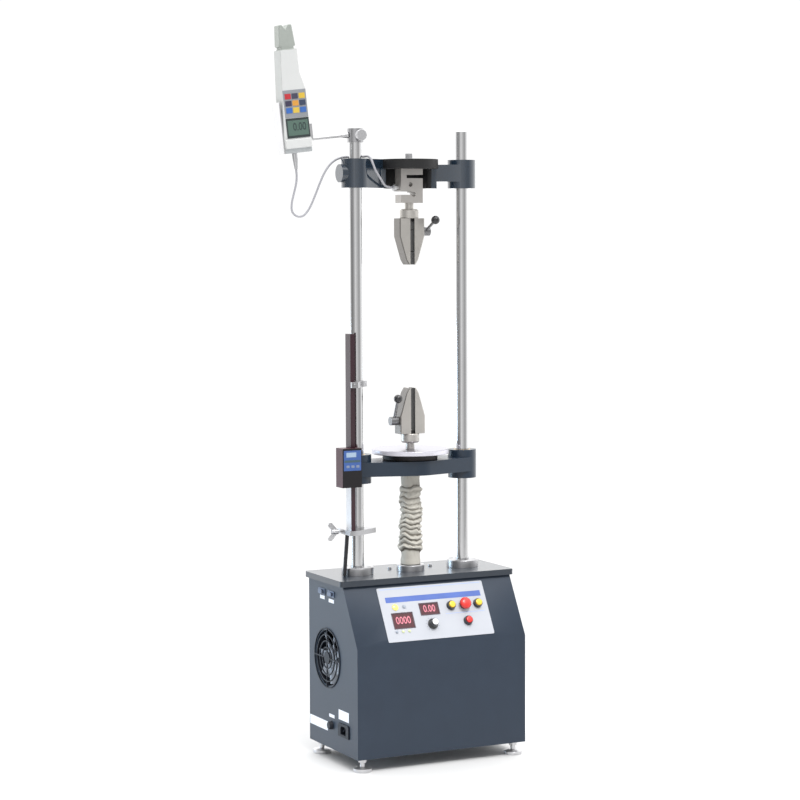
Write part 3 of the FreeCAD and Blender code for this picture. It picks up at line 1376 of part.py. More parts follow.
def make_cable():
    """Cable from the gauge's plug over the upper crosshead to the load cell's gland."""
    points = [Vector(*point) for point in CABLE_POINTS]
    path, radii = cable_path(points)
    radius = SIZES["cable_d"] / 2
    ring = Part.Wire([Part.Circle(points[0], points[1] - points[0], radius).toShape()])
    tube = path.makePipeShell([ring], True, True)
    cable = doc.addObject("Part::Feature", "signal_cable")
    cable.Shape = tube
    finish(cable, "signal_cable")
    share = tube.Volume / (math.pi * radius ** 2 * path.Length)
    print(f"cable {path.Length:.0f} mm, least radius {min(radii):.1f}, volume share {share:.4f}")
    # The gland points at the cable's last run, the plug at its first.
    end = points[-1]
    gland = turned("cell_gland", [(0, 0), (radius + 2, 0), (8, 3), (8, 8), (6, 8), (6, 14.5), (0, 14.5)])
    place(gland, -S.cell_width / 2 - 14.5, S.column_y, end.z, X_TURN)
    arriving = (points[1] - points[0]).normalize()
    plug = turned("gauge_plug", [(0, 0), (radius + 1.2, 0), (6, 22), (6, 32.4), (0, 32.4)])
    plug.Placement = Placement(points[0], Rotation(Vector(0, 0, 1), arriving * -1))
    finish(group("cable_fittings", gland, plug), "cable_fittings")


make_housing()
make_plates()
make_feet()
make_columns()
make_fasteners()
make_upper_crosshead()
make_lower_crosshead()
make_table()
make_load_cell()
make_grip("upper", cell_z - grip_length, Rotation(), 1, 63)
make_grip("lower", table_top + grip_length, FLIP, -1, 157)
drive_z = make_screw_drive()
make_motor(drive_z)
make_bellows()
make_panel()
make_fan()
make_sockets()
make_scale()
make_gauge()
make_cable()
doc.recompute()

failed = [item.Name for item in doc.Objects if {"Invalid", "Error"} & set(item.State)]
failed += [item.Label for item in sub_parts if item.Shape.isNull() or not item.Shape.isValid()]
if failed:
    raise RuntimeError("no valid shape: " + ", ".join(failed))
os.makedirs("parts", exist_ok=True)
for item in sub_parts:
    item.Shape.exportStep(f"parts/{item.Label}.step")
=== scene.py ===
import json
import math

import bmesh
import bpy
from mathutils import Matrix, Vector, noise

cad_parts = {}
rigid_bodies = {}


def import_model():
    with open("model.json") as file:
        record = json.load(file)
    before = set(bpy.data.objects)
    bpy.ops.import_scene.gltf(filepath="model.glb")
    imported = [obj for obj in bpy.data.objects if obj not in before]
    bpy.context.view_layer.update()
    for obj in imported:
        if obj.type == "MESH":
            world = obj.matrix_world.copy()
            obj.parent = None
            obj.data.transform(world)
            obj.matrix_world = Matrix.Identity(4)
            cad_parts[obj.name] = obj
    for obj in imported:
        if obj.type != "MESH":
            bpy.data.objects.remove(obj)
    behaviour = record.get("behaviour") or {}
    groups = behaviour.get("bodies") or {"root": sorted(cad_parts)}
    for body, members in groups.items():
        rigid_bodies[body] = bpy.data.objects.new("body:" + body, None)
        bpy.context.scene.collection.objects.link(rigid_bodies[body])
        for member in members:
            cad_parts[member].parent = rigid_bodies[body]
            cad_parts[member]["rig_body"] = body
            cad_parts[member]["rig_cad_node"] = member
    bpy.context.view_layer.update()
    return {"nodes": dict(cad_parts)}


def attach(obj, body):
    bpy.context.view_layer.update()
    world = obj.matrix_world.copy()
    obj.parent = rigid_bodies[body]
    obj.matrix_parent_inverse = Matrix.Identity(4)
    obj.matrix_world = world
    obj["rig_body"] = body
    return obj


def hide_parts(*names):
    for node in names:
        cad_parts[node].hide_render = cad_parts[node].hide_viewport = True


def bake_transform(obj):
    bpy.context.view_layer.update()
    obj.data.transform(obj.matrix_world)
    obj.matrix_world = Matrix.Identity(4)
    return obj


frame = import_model()
nodes = frame["nodes"]


# The camera stands to the front left, a little below the upper crosshead, and looks down by four
# degrees. Places are given in mm in the stand's own frame: z = 0 is the floor, and the test axis
# stands at x = 0 and y = 28, in line with both columns.
shift_x, shift_y = 49.43, -3.5
axis_y = 28


def at(x, y, z):
    """A place in the stand's own frame, in mm, as a point of the scene, in metres."""
    return Vector(((x + shift_x) / 1000, (y + shift_y) / 1000, z / 1000))


camera_data = bpy.data.cameras.new("view")
camera_data.lens = 102.894
camera_data.sensor_width = 36
camera_data.clip_start = 0.1
camera = bpy.data.objects.new("view", camera_data)
bpy.context.scene.collection.objects.link(camera)
yaw, pitch, roll = math.radians(26.52), math.radians(4.086), math.radians(-0.2375)
ahead = Vector((math.sin(yaw) * math.cos(pitch), math.cos(yaw) * math.cos(pitch), -math.sin(pitch)))
level = Vector((math.cos(yaw), -math.sin(yaw), 0))
upward = level.cross(ahead)
across = level * math.cos(roll) + upward * math.sin(roll)
upright = upward * math.cos(roll) - level * math.sin(roll)
turn = Matrix((across, upright, -ahead)).transposed()
eye = at(-2126.5, -4187.7, 1071.9)
camera.matrix_world = Matrix.Translation(eye) @ turn.to_4x4()
bpy.context.scene.camera = camera


# The signal cable is a limp grey lead of 4.6 mm. It hangs in a loop below the gauge's plug, passes
# behind the left column over the casting and drops to the gland on the load cell.
def shader(name):
    """A new material, two functions that add and join its nodes, and its surface shader."""
    material = bpy.data.materials.new(name)
    material.use_nodes = True
    tree = material.node_tree
    surface = tree.nodes["Principled BSDF"]

    def add(kind, **inputs):
        node = tree.nodes.new(kind)
        for key, value in inputs.items():
            socket = node.inputs[key.replace("_", " ")]
            if hasattr(value, "links"):
                tree.links.new(value, socket)
            else:
                socket.default_value = value
        return node

    def join(start, end):
        tree.links.new(start, end)

    return material, add, join, surface


def tone(*levels):
    """A paint shade in linear light, from its sRGB levels of red, green and blue, 0 to 255."""
    return tuple((level / 255 + 0.055) ** 2.4 / 1.055 ** 2.4 if level > 10 else level / 3294.6
                 for level in levels)


def surface_finish(name, colour, rough, metal=0.0, grain=0.0015, depth=0.02, cloud=0.06,
                   stretch=(1, 1, 1), coat=0.0, specular=0.5):
    """A painted, moulded or machined finish: cloudy colour, uneven gloss and a fine relief.
    Grain is the relief's size in metres and depth its height in grains. Stretch scales the
    pattern along each axis: a low number draws it out."""
    material, add, join, surface = shader(name)
    place = add("ShaderNodeTexCoord").outputs["Object"]
    run = add("ShaderNodeMapping", Vector=place, Scale=stretch).outputs["Vector"]
    broad = add("ShaderNodeTexNoise", Vector=place, Scale=18.0, Detail=4.0, Roughness=0.6)
    fine = add("ShaderNodeTexNoise", Vector=run, Scale=1 / grain, Detail=5.0, Roughness=0.65)
    ramp = add("ShaderNodeValToRGB", Fac=broad.outputs["Fac"])
    ramp.color_ramp.elements[0].position = 0.3
    ramp.color_ramp.elements[1].position = 0.7
    ramp.color_ramp.elements[0].color = [c * (1 - cloud) for c in colour] + [1]
    ramp.color_ramp.elements[1].color = [min(1, c * (1 + cloud)) for c in colour] + [1]
    speck = add("ShaderNodeMapRange", Value=fine.outputs["Fac"])
    speck.inputs["To Min"].default_value = 1 - cloud
    speck.inputs["To Max"].default_value = 1 + cloud
    tint = add("ShaderNodeVectorMath", Vector=ramp.outputs["Color"])
    tint.operation = "SCALE"
    join(speck.outputs["Result"], tint.inputs["Scale"])
    join(tint.outputs["Vector"], surface.inputs["Base Color"])
    gloss = add("ShaderNodeMapRange", Value=fine.outputs["Fac"])
    gloss.inputs["To Min"].default_value = rough * 0.8
    gloss.inputs["To Max"].default_value = min(1, rough * 1.2)
    join(gloss.outputs["Result"], surface.inputs["Roughness"])
    relief = add("ShaderNodeBump", Height=fine.outputs["Fac"], Strength=0.5, Distance=depth * grain)
    join(relief.outputs["Normal"], surface.inputs["Normal"])
    surface.inputs["Metallic"].default_value = metal
    surface.inputs["Coat Weight"].default_value = coat
    surface.inputs["Coat Roughness"].default_value = 0.08
    surface.inputs["Specular IOR Level"].default_value = specular
    return material


def dye(thing, *materials):
    """Give a piece these materials in place of its own."""
    thing.data.materials.clear()
    for material in materials:
        thing.data.materials.append(material)


cable_route = [
    (-253.5, 28, 1207.7), (-251.9, 28, 1193.5), (-253.6, 28, 1179.2), (-257, 28, 1165.3),
    (-261, 28, 1151.8), (-263.9, 28, 1138.5), (-264.3, 28, 1126), (-260.1, 28, 1118.2),
    (-252.6, 28, 1113.3), (-243.8, 28, 1112.6), (-235.6, 28, 1116.2), (-226.6, 28.2, 1126.6),
    (-219.4, 28.7, 1138.6), (-213.3, 29.3, 1151.7), (-207.1, 30.4, 1164.5), (-201.1, 31.7, 1177.4),
    (-194.7, 33.4, 1190.1), (-187.4, 35.3, 1202.2), (-179, 37.8, 1213.1), (-169, 41, 1222.2),
    (-157.4, 45.1, 1228.8), (-144.7, 50.3, 1232.8), (-131, 54, 1234.5), (-117, 52.5, 1234.8),
    (-106.2, 43.2, 1234.7), (-100.8, 30, 1234.8), (-99.5, 15.8, 1235.4), (-99.9, 2.6, 1231.6),
    (-99, -5.4, 1220.6), (-93.6, -5.2, 1207.6), (-84.8, -0.6, 1197.3), (-75, 6.6, 1189.2),
    (-64.6, 16.4, 1180.6), (-53.4, 26.4, 1173.6), (-39.5, 28, 1172.5)]
lead = bpy.data.curves.new("signal_lead", "CURVE")
lead.dimensions = "3D"
lead.bevel_depth = 0.0023
lead.bevel_resolution = 5
lead.resolution_u = 8
line = lead.splines.new("NURBS")
line.points.add(len(cable_route) - 1)
for point, place in zip(line.points, cable_route):
    point.co = (*at(*place), 1)
line.order_u = 3
line.use_endpoint_u = True
signal_lead = bpy.data.objects.new("signal_lead", lead)
bpy.context.scene.collection.objects.link(signal_lead)
dye(signal_lead, surface_finish("cable_sheath", tone(176, 176, 182), 0.42, grain=0.0008,
                                depth=0.05))
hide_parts("signal_cable")
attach(signal_lead, "frame")


# The studio: a white floor in a round tent of soft light that is bright behind the stand and
# overhead, and dim to the left and right of the viewer, so the chromed columns show their bands.
# The camera itself sees plain white. Two lamps light the left wall and the sloping front.
bpy.ops.object.select_all(action="DESELECT")
bpy.ops.mesh.primitive_plane_add(size=5.5, location=(0, 0, 0))
floor = bpy.context.active_object
floor.name = "studio_floor"
dye(floor, surface_finish("floor_paper", (0.62, 0.62, 0.62), 0.8, grain=0.004, cloud=0.005))
bpy.context.scene.view_settings.view_transform = "Standard"
world = bpy.data.worlds.new("studio")
bpy.context.scene.world = world
world.use_nodes = True
sky = world.node_tree
tent = sky.nodes["Background"]
towards = sky.nodes.new("ShaderNodeTexCoord")
swing = sky.nodes.new("ShaderNodeMapping")
swing.inputs["Rotation"].default_value = (0, 0, math.radians(90) + yaw)
bearing = sky.nodes.new("ShaderNodeTexGradient")
bearing.gradient_type = "RADIAL"
wall_light = sky.nodes.new("ShaderNodeValToRGB")
brightest, crown_glow, seen_white = 1.8, 2.3, 1.05
# bearing round the stand in degrees from the viewer's side, and how bright the tent is there
wall_levels = [(-180, 1.7), (-130, 1.8), (-100, 1.2), (-85, 0.45), (-70, 0.3), (-40, 0.5),
               (-16, 0.9), (-8, 1.3), (0, 0.95), (10, 0.95), (40, 0.62), (60, 0.55), (90, 1.3),
               (120, 1.8), (180, 1.7)]
bearings, glows = zip(*wall_levels)
stops = wall_light.color_ramp.elements
while len(stops) < len(wall_levels):
    stops.new(0.5)
# every stop is put in its place before any is coloured
for stop, degrees in zip(stops, bearings):
    stop.position = 0.5 + degrees / 360
for stop, glow in zip(stops, glows):
    stop.color = (glow / brightest,) * 3 + (1,)
height = sky.nodes.new("ShaderNodeSeparateXYZ")
overhead = sky.nodes.new("ShaderNodeMapRange")
overhead.interpolation_type = "SMOOTHSTEP"
overhead.inputs["From Min"].default_value = 0.45
overhead.inputs["From Max"].default_value = 0.85
blend_up = sky.nodes.new("ShaderNodeMix")
blend_up.inputs["B"].default_value = crown_glow / brightest
strength = sky.nodes.new("ShaderNodeMath")
strength.operation = "MULTIPLY"
strength.inputs[1].default_value = brightest
white = sky.nodes.new("ShaderNodeBackground")
rays = sky.nodes.new("ShaderNodeLightPath")
choice = sky.nodes.new("ShaderNodeMixShader")
white.inputs["Color"].default_value = (1, 1, 1, 1)
white.inputs["Strength"].default_value = seen_white
tent.inputs["Color"].default_value = (1, 1, 1, 1)
for start, end in ((towards.outputs["Generated"], swing.inputs["Vector"]),
                   (swing.outputs["Vector"], bearing.inputs["Vector"]),
                   (bearing.outputs["Fac"], wall_light.inputs["Fac"]),
                   (towards.outputs["Generated"], height.inputs["Vector"]),
                   (height.outputs["Z"], overhead.inputs["Value"]),
                   (overhead.outputs["Result"], blend_up.inputs["Factor"]),
                   (wall_light.outputs["Color"], blend_up.inputs["A"]),
                   (blend_up.outputs["Result"], strength.inputs[0]),
                   (strength.outputs["Value"], tent.inputs["Strength"]),
                   (rays.outputs["Is Camera Ray"], choice.inputs["Fac"]),
                   (tent.outputs["Background"], choice.inputs[1]),
                   (white.outputs["Background"], choice.inputs[2]),
                   (choice.outputs["Shader"], sky.nodes["World Output"].inputs["Surface"])):
    sky.links.new(start, end)
# each lamp's name, width, depth, power and colour, its place and the point it faces, in metres
lamp_spread = 26
for name, width, depth, power, glow, place, target in (
        ("side_box", 0.9, 0.9, 1.2, (0.55, 0.78, 1.0), (-1.75, 1.45, 0.3), (-0.14, 0, 0.18)),
        ("front_box", 1.2, 0.8, 2.1, (1.0, 1.0, 1.0), (0.1, -1.5, 2.3), (0.03, -0.1, 0.3))):
    lamp = bpy.data.lights.new(name, "AREA")
    lamp.shape = "RECTANGLE"
    lamp.size, lamp.size_y, lamp.energy = width, depth, power
    lamp.color = glow
    lamp.spread = math.radians(lamp_spread)
    box = bpy.data.objects.new(name, lamp)
    box.location = place
    aim = Vector(target) - box.location
    box.rotation_euler = aim.to_track_quat("-Z", "Y").to_euler()
    bpy.context.scene.collection.objects.link(box)


# The cabinet is folded from 2 mm sheet and powder coated in a dark slate blue with a fine even
# grain. Its folds are slightly rounded, so each one catches a thin line of light.
sharp_angle = 35


def round_edges(piece, width, segments, angle):
    """Round the active piece's edges, to a width in metres, where its faces meet at more than
    the angle in degrees."""
    bevel = piece.modifiers.new("edge", "BEVEL")
    bevel.width = width
    bevel.segments = segments
    bevel.limit_method = "ANGLE"
    bevel.angle_limit = math.radians(angle)
    bpy.ops.object.modifier_apply(modifier="edge")


def dressed(node, edge, segments=2):
    """A copy of a CAD piece with its doubles merged and its edges rounded, in its place."""
    copy = nodes[node].copy()
    copy.data = nodes[node].data.copy()
    copy.name = f"{node}_dressed"
    copy.parent = None
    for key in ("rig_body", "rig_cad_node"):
        del copy[key]
    bpy.context.scene.collection.objects.link(copy)
    mesh = bmesh.new()
    mesh.from_mesh(copy.data)
    bmesh.ops.remove_doubles(mesh, verts=mesh.verts, dist=0.00001)
    bmesh.ops.dissolve_limit(mesh, angle_limit=math.radians(1), verts=mesh.verts, edges=mesh.edges)
    mesh.to_mesh(copy.data)
    mesh.free()
    bpy.ops.object.select_all(action="DESELECT")
    copy.select_set(True)
    bpy.context.view_layer.objects.active = copy
    if edge:
        round_edges(copy, edge, segments, sharp_angle)
    bpy.ops.object.shade_smooth_by_angle(angle=math.radians(sharp_angle))
    evening = copy.modifiers.new("evening", "WEIGHTED_NORMAL")
    evening.keep_sharp = True
    bpy.ops.object.modifier_apply(modifier="evening")
    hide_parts(node)
    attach(copy, nodes[node]["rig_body"])
    return copy


def repaint(piece, index, test):
    """Give the material of that index to the faces that pass the test, which is handed their
    middle, in mm in the stand's own frame, and their direction."""
    for face in piece.data.polygons:
        middle = face.center * 1000 - Vector((shift_x, shift_y, 0))
        if test(middle, face.normal):
            face.material_index = index


def slab(name, low, high, edge, place, material):
    """A flat plate between two corners, in mm on the given plane, with its edges rounded."""
    bpy.ops.object.select_all(action="DESELECT")
    bpy.ops.mesh.primitive_cube_add(size=1, location=[(a + b) / 2000 for a, b in zip(low, high)])
    piece = bpy.context.active_object
    piece.name = name
    piece.scale = [(b - a) / 1000 for a, b in zip(low, high)]
    bpy.ops.object.transform_apply(location=True, scale=True)
    bpy.ops.object.mode_set(mode="EDIT")
    bpy.ops.mesh.select_all(action="SELECT")
    bpy.ops.mesh.bevel(offset=edge / 1000, segments=2)
    bpy.ops.object.mode_set(mode="OBJECT")
    piece.data.transform(place)
    dye(piece, material)
    return piece


cabinet_paint = surface_finish("cabinet_powder_coat", (0.019, 0.030, 0.049), 0.42, grain=0.0011,
                               depth=0.12, cloud=0.05, specular=0.4)
cabinet = dressed("housing", 0.0007)
dye(cabinet, cabinet_paint)


# The bottom sheet and the thick top plate wear the same coat; the plate is smoother and glossier,
# so it mirrors the pale room.
bottom = dressed("bottom_plate", 0.0005)
dye(bottom, cabinet_paint)
plate_paint = surface_finish("plate_enamel", (0.013, 0.020, 0.031), 0.33, grain=0.0016, depth=0.03,
                             cloud=0.05, coat=0.35)
plate = dressed("top_plate", 0.0012, 3)
dye(plate, plate_paint)


# The cabinet stands on four adjustable feet: zinc-plated discs on threaded stems, each with a lock
# nut under the bottom sheet.
zinc = surface_finish("zinc_plate", (0.60, 0.60, 0.61), 0.32, 0.9, grain=0.0012, depth=0.04)
feet = dressed("levelling_feet", 0.0005)
dye(feet, zinc)


# Two columns of hard-chromed round bar stand in the top plate, stepped down to stubs with a nut
# below. Their grinding leaves hair-fine rings.
chrome = surface_finish("ground_chrome", (0.56, 0.56, 0.565), 0.13, 1.0, grain=0.0012, depth=0.006,
                        cloud=0.02, stretch=(0.02, 0.02, 3))
columns = dressed("columns", 0)
dye(columns, chrome)


# Turned steel collars are screwed down on the top plate, round the feet of both columns and of the
# bellows. The lathe leaves fine rings on them.
turned_steel = surface_finish("turned_steel", (0.42, 0.42, 0.43), 0.3, 1.0, grain=0.0012,
                              depth=0.03, cloud=0.03, stretch=(0.1, 0.1, 3))
collars = dressed("base_collars", 0.0003)
dye(collars, turned_steel)


# The fasteners are zinc plated: column nuts, collar and plate screws and the load cell's bolt. The
# screws that clamp the upper crosshead were sprayed over with its glossy dark blue enamel.
casting_paint = surface_finish("casting_enamel", (0.013, 0.026, 0.044), 0.14, grain=0.006,
                               depth=0.03, cloud=0.06, coat=0.55, specular=0.8)
fasteners = dressed("frame_fasteners", 0.0002)
dye(fasteners, zinc, casting_paint)
head_foot, head_top, head_side = 1160, 1240, 100
repaint(fasteners, 1,
        lambda middle, facing: head_foot < middle.z < head_top and abs(middle.x) > head_side)


# Both crossheads are castings, filled, rubbed down and sprayed dark blue, the upper one glossy and
# the lower one matt. The drum and the pocket of the upper one, where the load cell hangs, are
# painted near black as painted shade. Bronze bushes guide the lower one on the columns.
# painted shade: the pocket and the drum over it get this near-black paint
pocket_shade_paint = surface_finish("pocket_painted_shade", (0.006, 0.006, 0.007), 0.6, grain=0.001, depth=0.1)
upper_head = dressed("upper_crosshead", 0.0018, 3)
dye(upper_head, casting_paint, pocket_shade_paint)


def in_pocket(middle, facing):
    """Whether a face of the upper crosshead is in its pocket or on the drum over it."""
    pocket_reach, drum_reach, drum_foot = 55.5, 61.5, 1211
    reach = math.hypot(middle.x, middle.y - axis_y)
    return reach < pocket_reach or reach < drum_reach and middle.z > drum_foot


repaint(upper_head, 1, in_pocket)
lower_head = dressed("lower_crosshead", 0.0018, 3)
dye(lower_head, surface_finish("casting_matt", (0.014, 0.025, 0.042), 0.3, grain=0.006, depth=0.03,
                               cloud=0.06, specular=0.45))
bronze = surface_finish("bush_bronze", (0.50, 0.33, 0.12), 0.35, 1.0)
bushes = dressed("guide_bushes", 0.0003)
dye(bushes, bronze)


# The load cell is a milled aluminium block, anodised pale grey, and hangs from the upper crosshead
# by one bolt. The cable's gland on it and the plug at the gauge are zinc plated.
anodised = surface_finish("cell_anodising", (0.44, 0.42, 0.40), 0.38, 0.35, grain=0.0009,
                          depth=0.04)
cell = dressed("load_cell", 0.0006)
dye(cell, anodised)
fittings = dressed("cable_fittings", 0.0003)
dye(fittings, zinc)


# The table is a turned steel disc. The lathe's last cut leaves rings about its middle. A dark ring
# in the gap round its boss is painted shade of that gap, and the lift screw is turned steel too.
def turned_piece(name, outline, place, material, count=40, edge=0.0):
    """A turned part: a disc drawn up through radii and heights in mm on the given plane."""
    bpy.ops.object.select_all(action="DESELECT")
    bpy.ops.mesh.primitive_circle_add(vertices=count, radius=outline[0][0] / 1000, fill_type="NGON")
    piece = bpy.context.active_object
    piece.name = name
    bpy.ops.object.mode_set(mode="EDIT")
    bpy.ops.mesh.select_all(action="SELECT")
    bpy.ops.transform.translate(value=(0, 0, outline[0][1] / 1000))
    for (reach, foot), (wider, higher) in zip(outline, outline[1:]):
        bpy.ops.mesh.extrude_region_move(
            TRANSFORM_OT_translate={"value": (0, 0, (higher - foot) / 1000)})
        bpy.ops.transform.resize(value=(wider / reach, wider / reach, 1),
                                 center_override=(0, 0, higher / 1000))
    bpy.ops.mesh.select_all(action="SELECT")
    bpy.ops.mesh.normals_make_consistent(inside=False)
    bpy.ops.object.mode_set(mode="OBJECT")
    if edge:
        round_edges(piece, edge / 1000, segments=3, angle=30)
    bpy.ops.object.shade_smooth_by_angle(angle=math.radians(sharp_angle))
    piece.data.transform(place)
    dye(piece, material)
    return piece


def turned_rings(name, colour, rough, centre, pitch=0.0011):
    """Machined steel with the lathe's rings about an upright axis."""
    material, add, join, surface = shader(name)
    place = add("ShaderNodeTexCoord").outputs["Object"]
    centred = add("ShaderNodeMapping", Vector=place, Location=[-c for c in centre])
    flat = add("ShaderNodeVectorMath", Vector=centred.outputs["Vector"])
    flat.operation = "MULTIPLY"
    flat.inputs[1].default_value = (1, 1, 0)
    reach = add("ShaderNodeVectorMath", Vector=flat.outputs["Vector"])
    reach.operation = "LENGTH"
    turns = add("ShaderNodeMath")
    turns.operation = "MULTIPLY"
    join(reach.outputs["Value"], turns.inputs[0])
    turns.inputs[1].default_value = 1 / pitch
    grooves = add("ShaderNodeTexNoise")
    grooves.noise_dimensions = "1D"
    join(turns.outputs["Value"], grooves.inputs["W"])
    shade = add("ShaderNodeValToRGB", Fac=grooves.outputs["Fac"])
    shade.color_ramp.elements[0].color = [c * 0.86 for c in colour] + [1]
    shade.color_ramp.elements[1].color = list(colour) + [1]
    join(shade.outputs["Color"], surface.inputs["Base Color"])
    relief = add("ShaderNodeBump", Height=grooves.outputs["Fac"], Strength=0.5, Distance=0.00004)
    join(relief.outputs["Normal"], surface.inputs["Normal"])
    surface.inputs["Metallic"].default_value = 1
    surface.inputs["Roughness"].default_value = rough
    return material


table = dressed("table", 0.0004)
# painted light: the rim's upright faces get a paler steel than the top, so they look as bright
table_rim_painted_light = surface_finish("table_rim_painted_light", (0.62, 0.61, 0.67), 0.4, 0.3, grain=0.001, depth=0.03,
                           stretch=(1, 1, 0.1))
dye(table, turned_rings("table_steel", (0.40, 0.39, 0.44), 0.3, at(0, axis_y, 0)),
    table_rim_painted_light)
repaint(table, 1, lambda middle, facing: abs(facing.z) < 0.5)
# painted shade: a dark ring set in the gap under the table
gap_shade_ring = turned_piece("table_gap_shade", [(56, 612.2), (57, 613.2), (57, 622.8), (56, 623.8)],
                       Matrix.Translation(at(0, axis_y, 0)),
                       surface_finish("gap_painted_shade", tone(40, 36, 38), 0.6, grain=0.001,
                                      depth=0.1), count=64)
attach(gap_shade_ring, nodes["table"]["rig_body"])
screw = dressed("lift_screw", 0)
dye(screw, turned_steel)


# Each grip is a wedge-shaped steel body, ground and satin plated, with a sliding jaw, a lever and
# a black ball.
grip_plate = surface_finish("grip_satin", (0.50, 0.48, 0.45), 0.36, 0.7, grain=0.0008, depth=0.05)
ball_black = surface_finish("ball_black", (0.012, 0.012, 0.014), 0.18, grain=0.002, depth=0.01,
                            coat=0.5)
lever_grey = surface_finish("lever_steel", (0.22, 0.22, 0.225), 0.32, 0.8, grain=0.001, depth=0.05)
# painted shade: the grip body's left-facing side gets this darker copy of its plating
grip_side_painted_shade = surface_finish("grip_side_painted_shade", (0.20, 0.19, 0.18), 0.4, 0.7, grain=0.0008, depth=0.05)
# painted shade: the slot in the grip body and the jaw inside it get this near-black paint
slot_painted_shade = surface_finish("grip_slot_shade_paint", (0.035, 0.034, 0.034), 0.4, 0.5, grain=0.001,
                           depth=0.05)
slot_half, slot_front = 4.9, 13.4
for end in ("upper", "lower"):
    body = dressed(f"{end}_grip_body", 0.0008)
    dye(body, grip_plate, slot_painted_shade, grip_side_painted_shade)
    repaint(body, 2, lambda middle, facing: facing.x < -0.6)
    repaint(body, 1, lambda middle, facing: abs(middle.x) < slot_half and middle.y > slot_front
            and facing.y < 0.5 and abs(facing.z) < 0.7)
    stem = dressed(f"{end}_grip_stem", 0.0003)
    dye(stem, grip_plate)
    jaw = dressed(f"{end}_grip_jaw", 0.0003)
    dye(jaw, slot_painted_shade)
    lever = dressed(f"{end}_grip_lever", 0.0003)
    dye(lever, lever_grey)
    ball = dressed(f"{end}_lever_knob", 0)
    dye(ball, ball_black)


# The drive inside the cabinet: a bronze nut turns in two bearings on the lift screw, and a rubber
# belt joins it to the geared motor. The power supply and the control board are there too.
for node, slot_name in (("nut_housing", "machined_steel"), ("nut_bearings", "zinc_steel"),
                        ("motor_pulley", "machined_steel")):
    inner = dressed(node, 0.0003)
    dye(inner, turned_steel)
nut = dressed("screw_nut", 0.0003)
dye(nut, bronze)
belt = dressed("drive_belt", 0.0003)
dye(belt, surface_finish("belt_rubber", (0.02, 0.02, 0.02), 0.7, grain=0.001, depth=0.2))
motor = dressed("motor", 0.0008)
dye(motor, surface_finish("motor_enamel", (0.03, 0.03, 0.035), 0.45, grain=0.002, depth=0.1))
supply = dressed("power_supply", 0.0006)
dye(supply, surface_finish("supply_case", (0.60, 0.60, 0.60), 0.45, 0.7, grain=0.0008))
board = dressed("control_board", 0)
dye(board, surface_finish("board_lacquer", (0.02, 0.12, 0.05), 0.35, grain=0.002))


# The bellows is coated cloth, sewn in round folds over the lift screw and pulled over a plain cuff
# at each end. Its folds have lost their shape.
cuff_foot, folds_foot, folds_head, cuff_head = 393.5, 424.3, 553.7, 582.5
fold_count, cuff_r, neck_r, foot_r = 12, 20.4, 19.2, 20.6
bead, shoulder, lowest_valley, valley_taper = 0.6, 1.2, 20.4, 0.11
outline = [(cuff_r, cuff_foot), (cuff_r + bead, cuff_foot + 2), (cuff_r + bead, cuff_foot + 8),
           (cuff_r, cuff_foot + 10), (cuff_r - 0.4, folds_foot - 8), (foot_r, folds_foot)]
fold = (folds_head - folds_foot) / fold_count
crests = [26.4, 25.2, 26.6, 24.6, 25.9, 25.4, 24.2, 25.0, 23.4, 24.2, 23.0, 23.6]
for index, crest_r in enumerate(crests):
    foot = folds_foot + fold * index
    valley_r = lowest_valley - valley_taper * index
    outline += [(crest_r - shoulder, foot + fold * 0.22), (crest_r, foot + fold * 0.5),
                (crest_r - shoulder, foot + fold * 0.78), (valley_r, foot + fold)]
outline += [(neck_r, folds_head + 8), (neck_r, cuff_head - 10), (neck_r + bead, cuff_head - 8),
            (neck_r + bead, cuff_head - 2), (neck_r, cuff_head)]
bpy.ops.object.select_all(action="DESELECT")
bpy.ops.mesh.primitive_circle_add(vertices=72, radius=outline[0][0] / 1000, fill_type="NOTHING",
                                  location=at(0, axis_y, outline[0][1]))
bellows = bpy.context.active_object
bellows.name = "bellows_sleeve"
bpy.ops.object.transform_apply(location=True)
bpy.ops.object.mode_set(mode="EDIT")
bpy.ops.mesh.select_all(action="SELECT")
for (reach, foot), (wider, higher) in zip(outline, outline[1:]):
    bpy.ops.mesh.extrude_region_move(
        TRANSFORM_OT_translate={"value": (0, 0, (higher - foot) / 1000)})
    bpy.ops.transform.resize(value=(wider / reach, wider / reach, 1),
                             center_override=at(0, axis_y, higher))
bpy.ops.mesh.select_all(action="SELECT")
bpy.ops.mesh.normals_make_consistent(inside=False)
bpy.ops.object.mode_set(mode="OBJECT")
rounding = bellows.modifiers.new("rounding", "SUBSURF")
rounding.levels = rounding.render_levels = 1
bpy.ops.object.modifier_apply(modifier="rounding")
axis = at(0, axis_y, 0)
valley = bellows.data.attributes.new("valley", "FLOAT", "POINT")
for index, corner in enumerate(bellows.data.vertices):
    share = min(fold_count - 1, max(0, int((corner.co.z * 1000 - folds_foot) / fold)))
    inset = crests[share] - shoulder - math.hypot(corner.co.x - axis.x, corner.co.y - axis.y) * 1000
    folded = folds_foot - 2 < corner.co.z * 1000 < folds_head + 2
    valley.data[index].value = max(0, min(1, inset / 3)) ** 1.4 if folded else 0
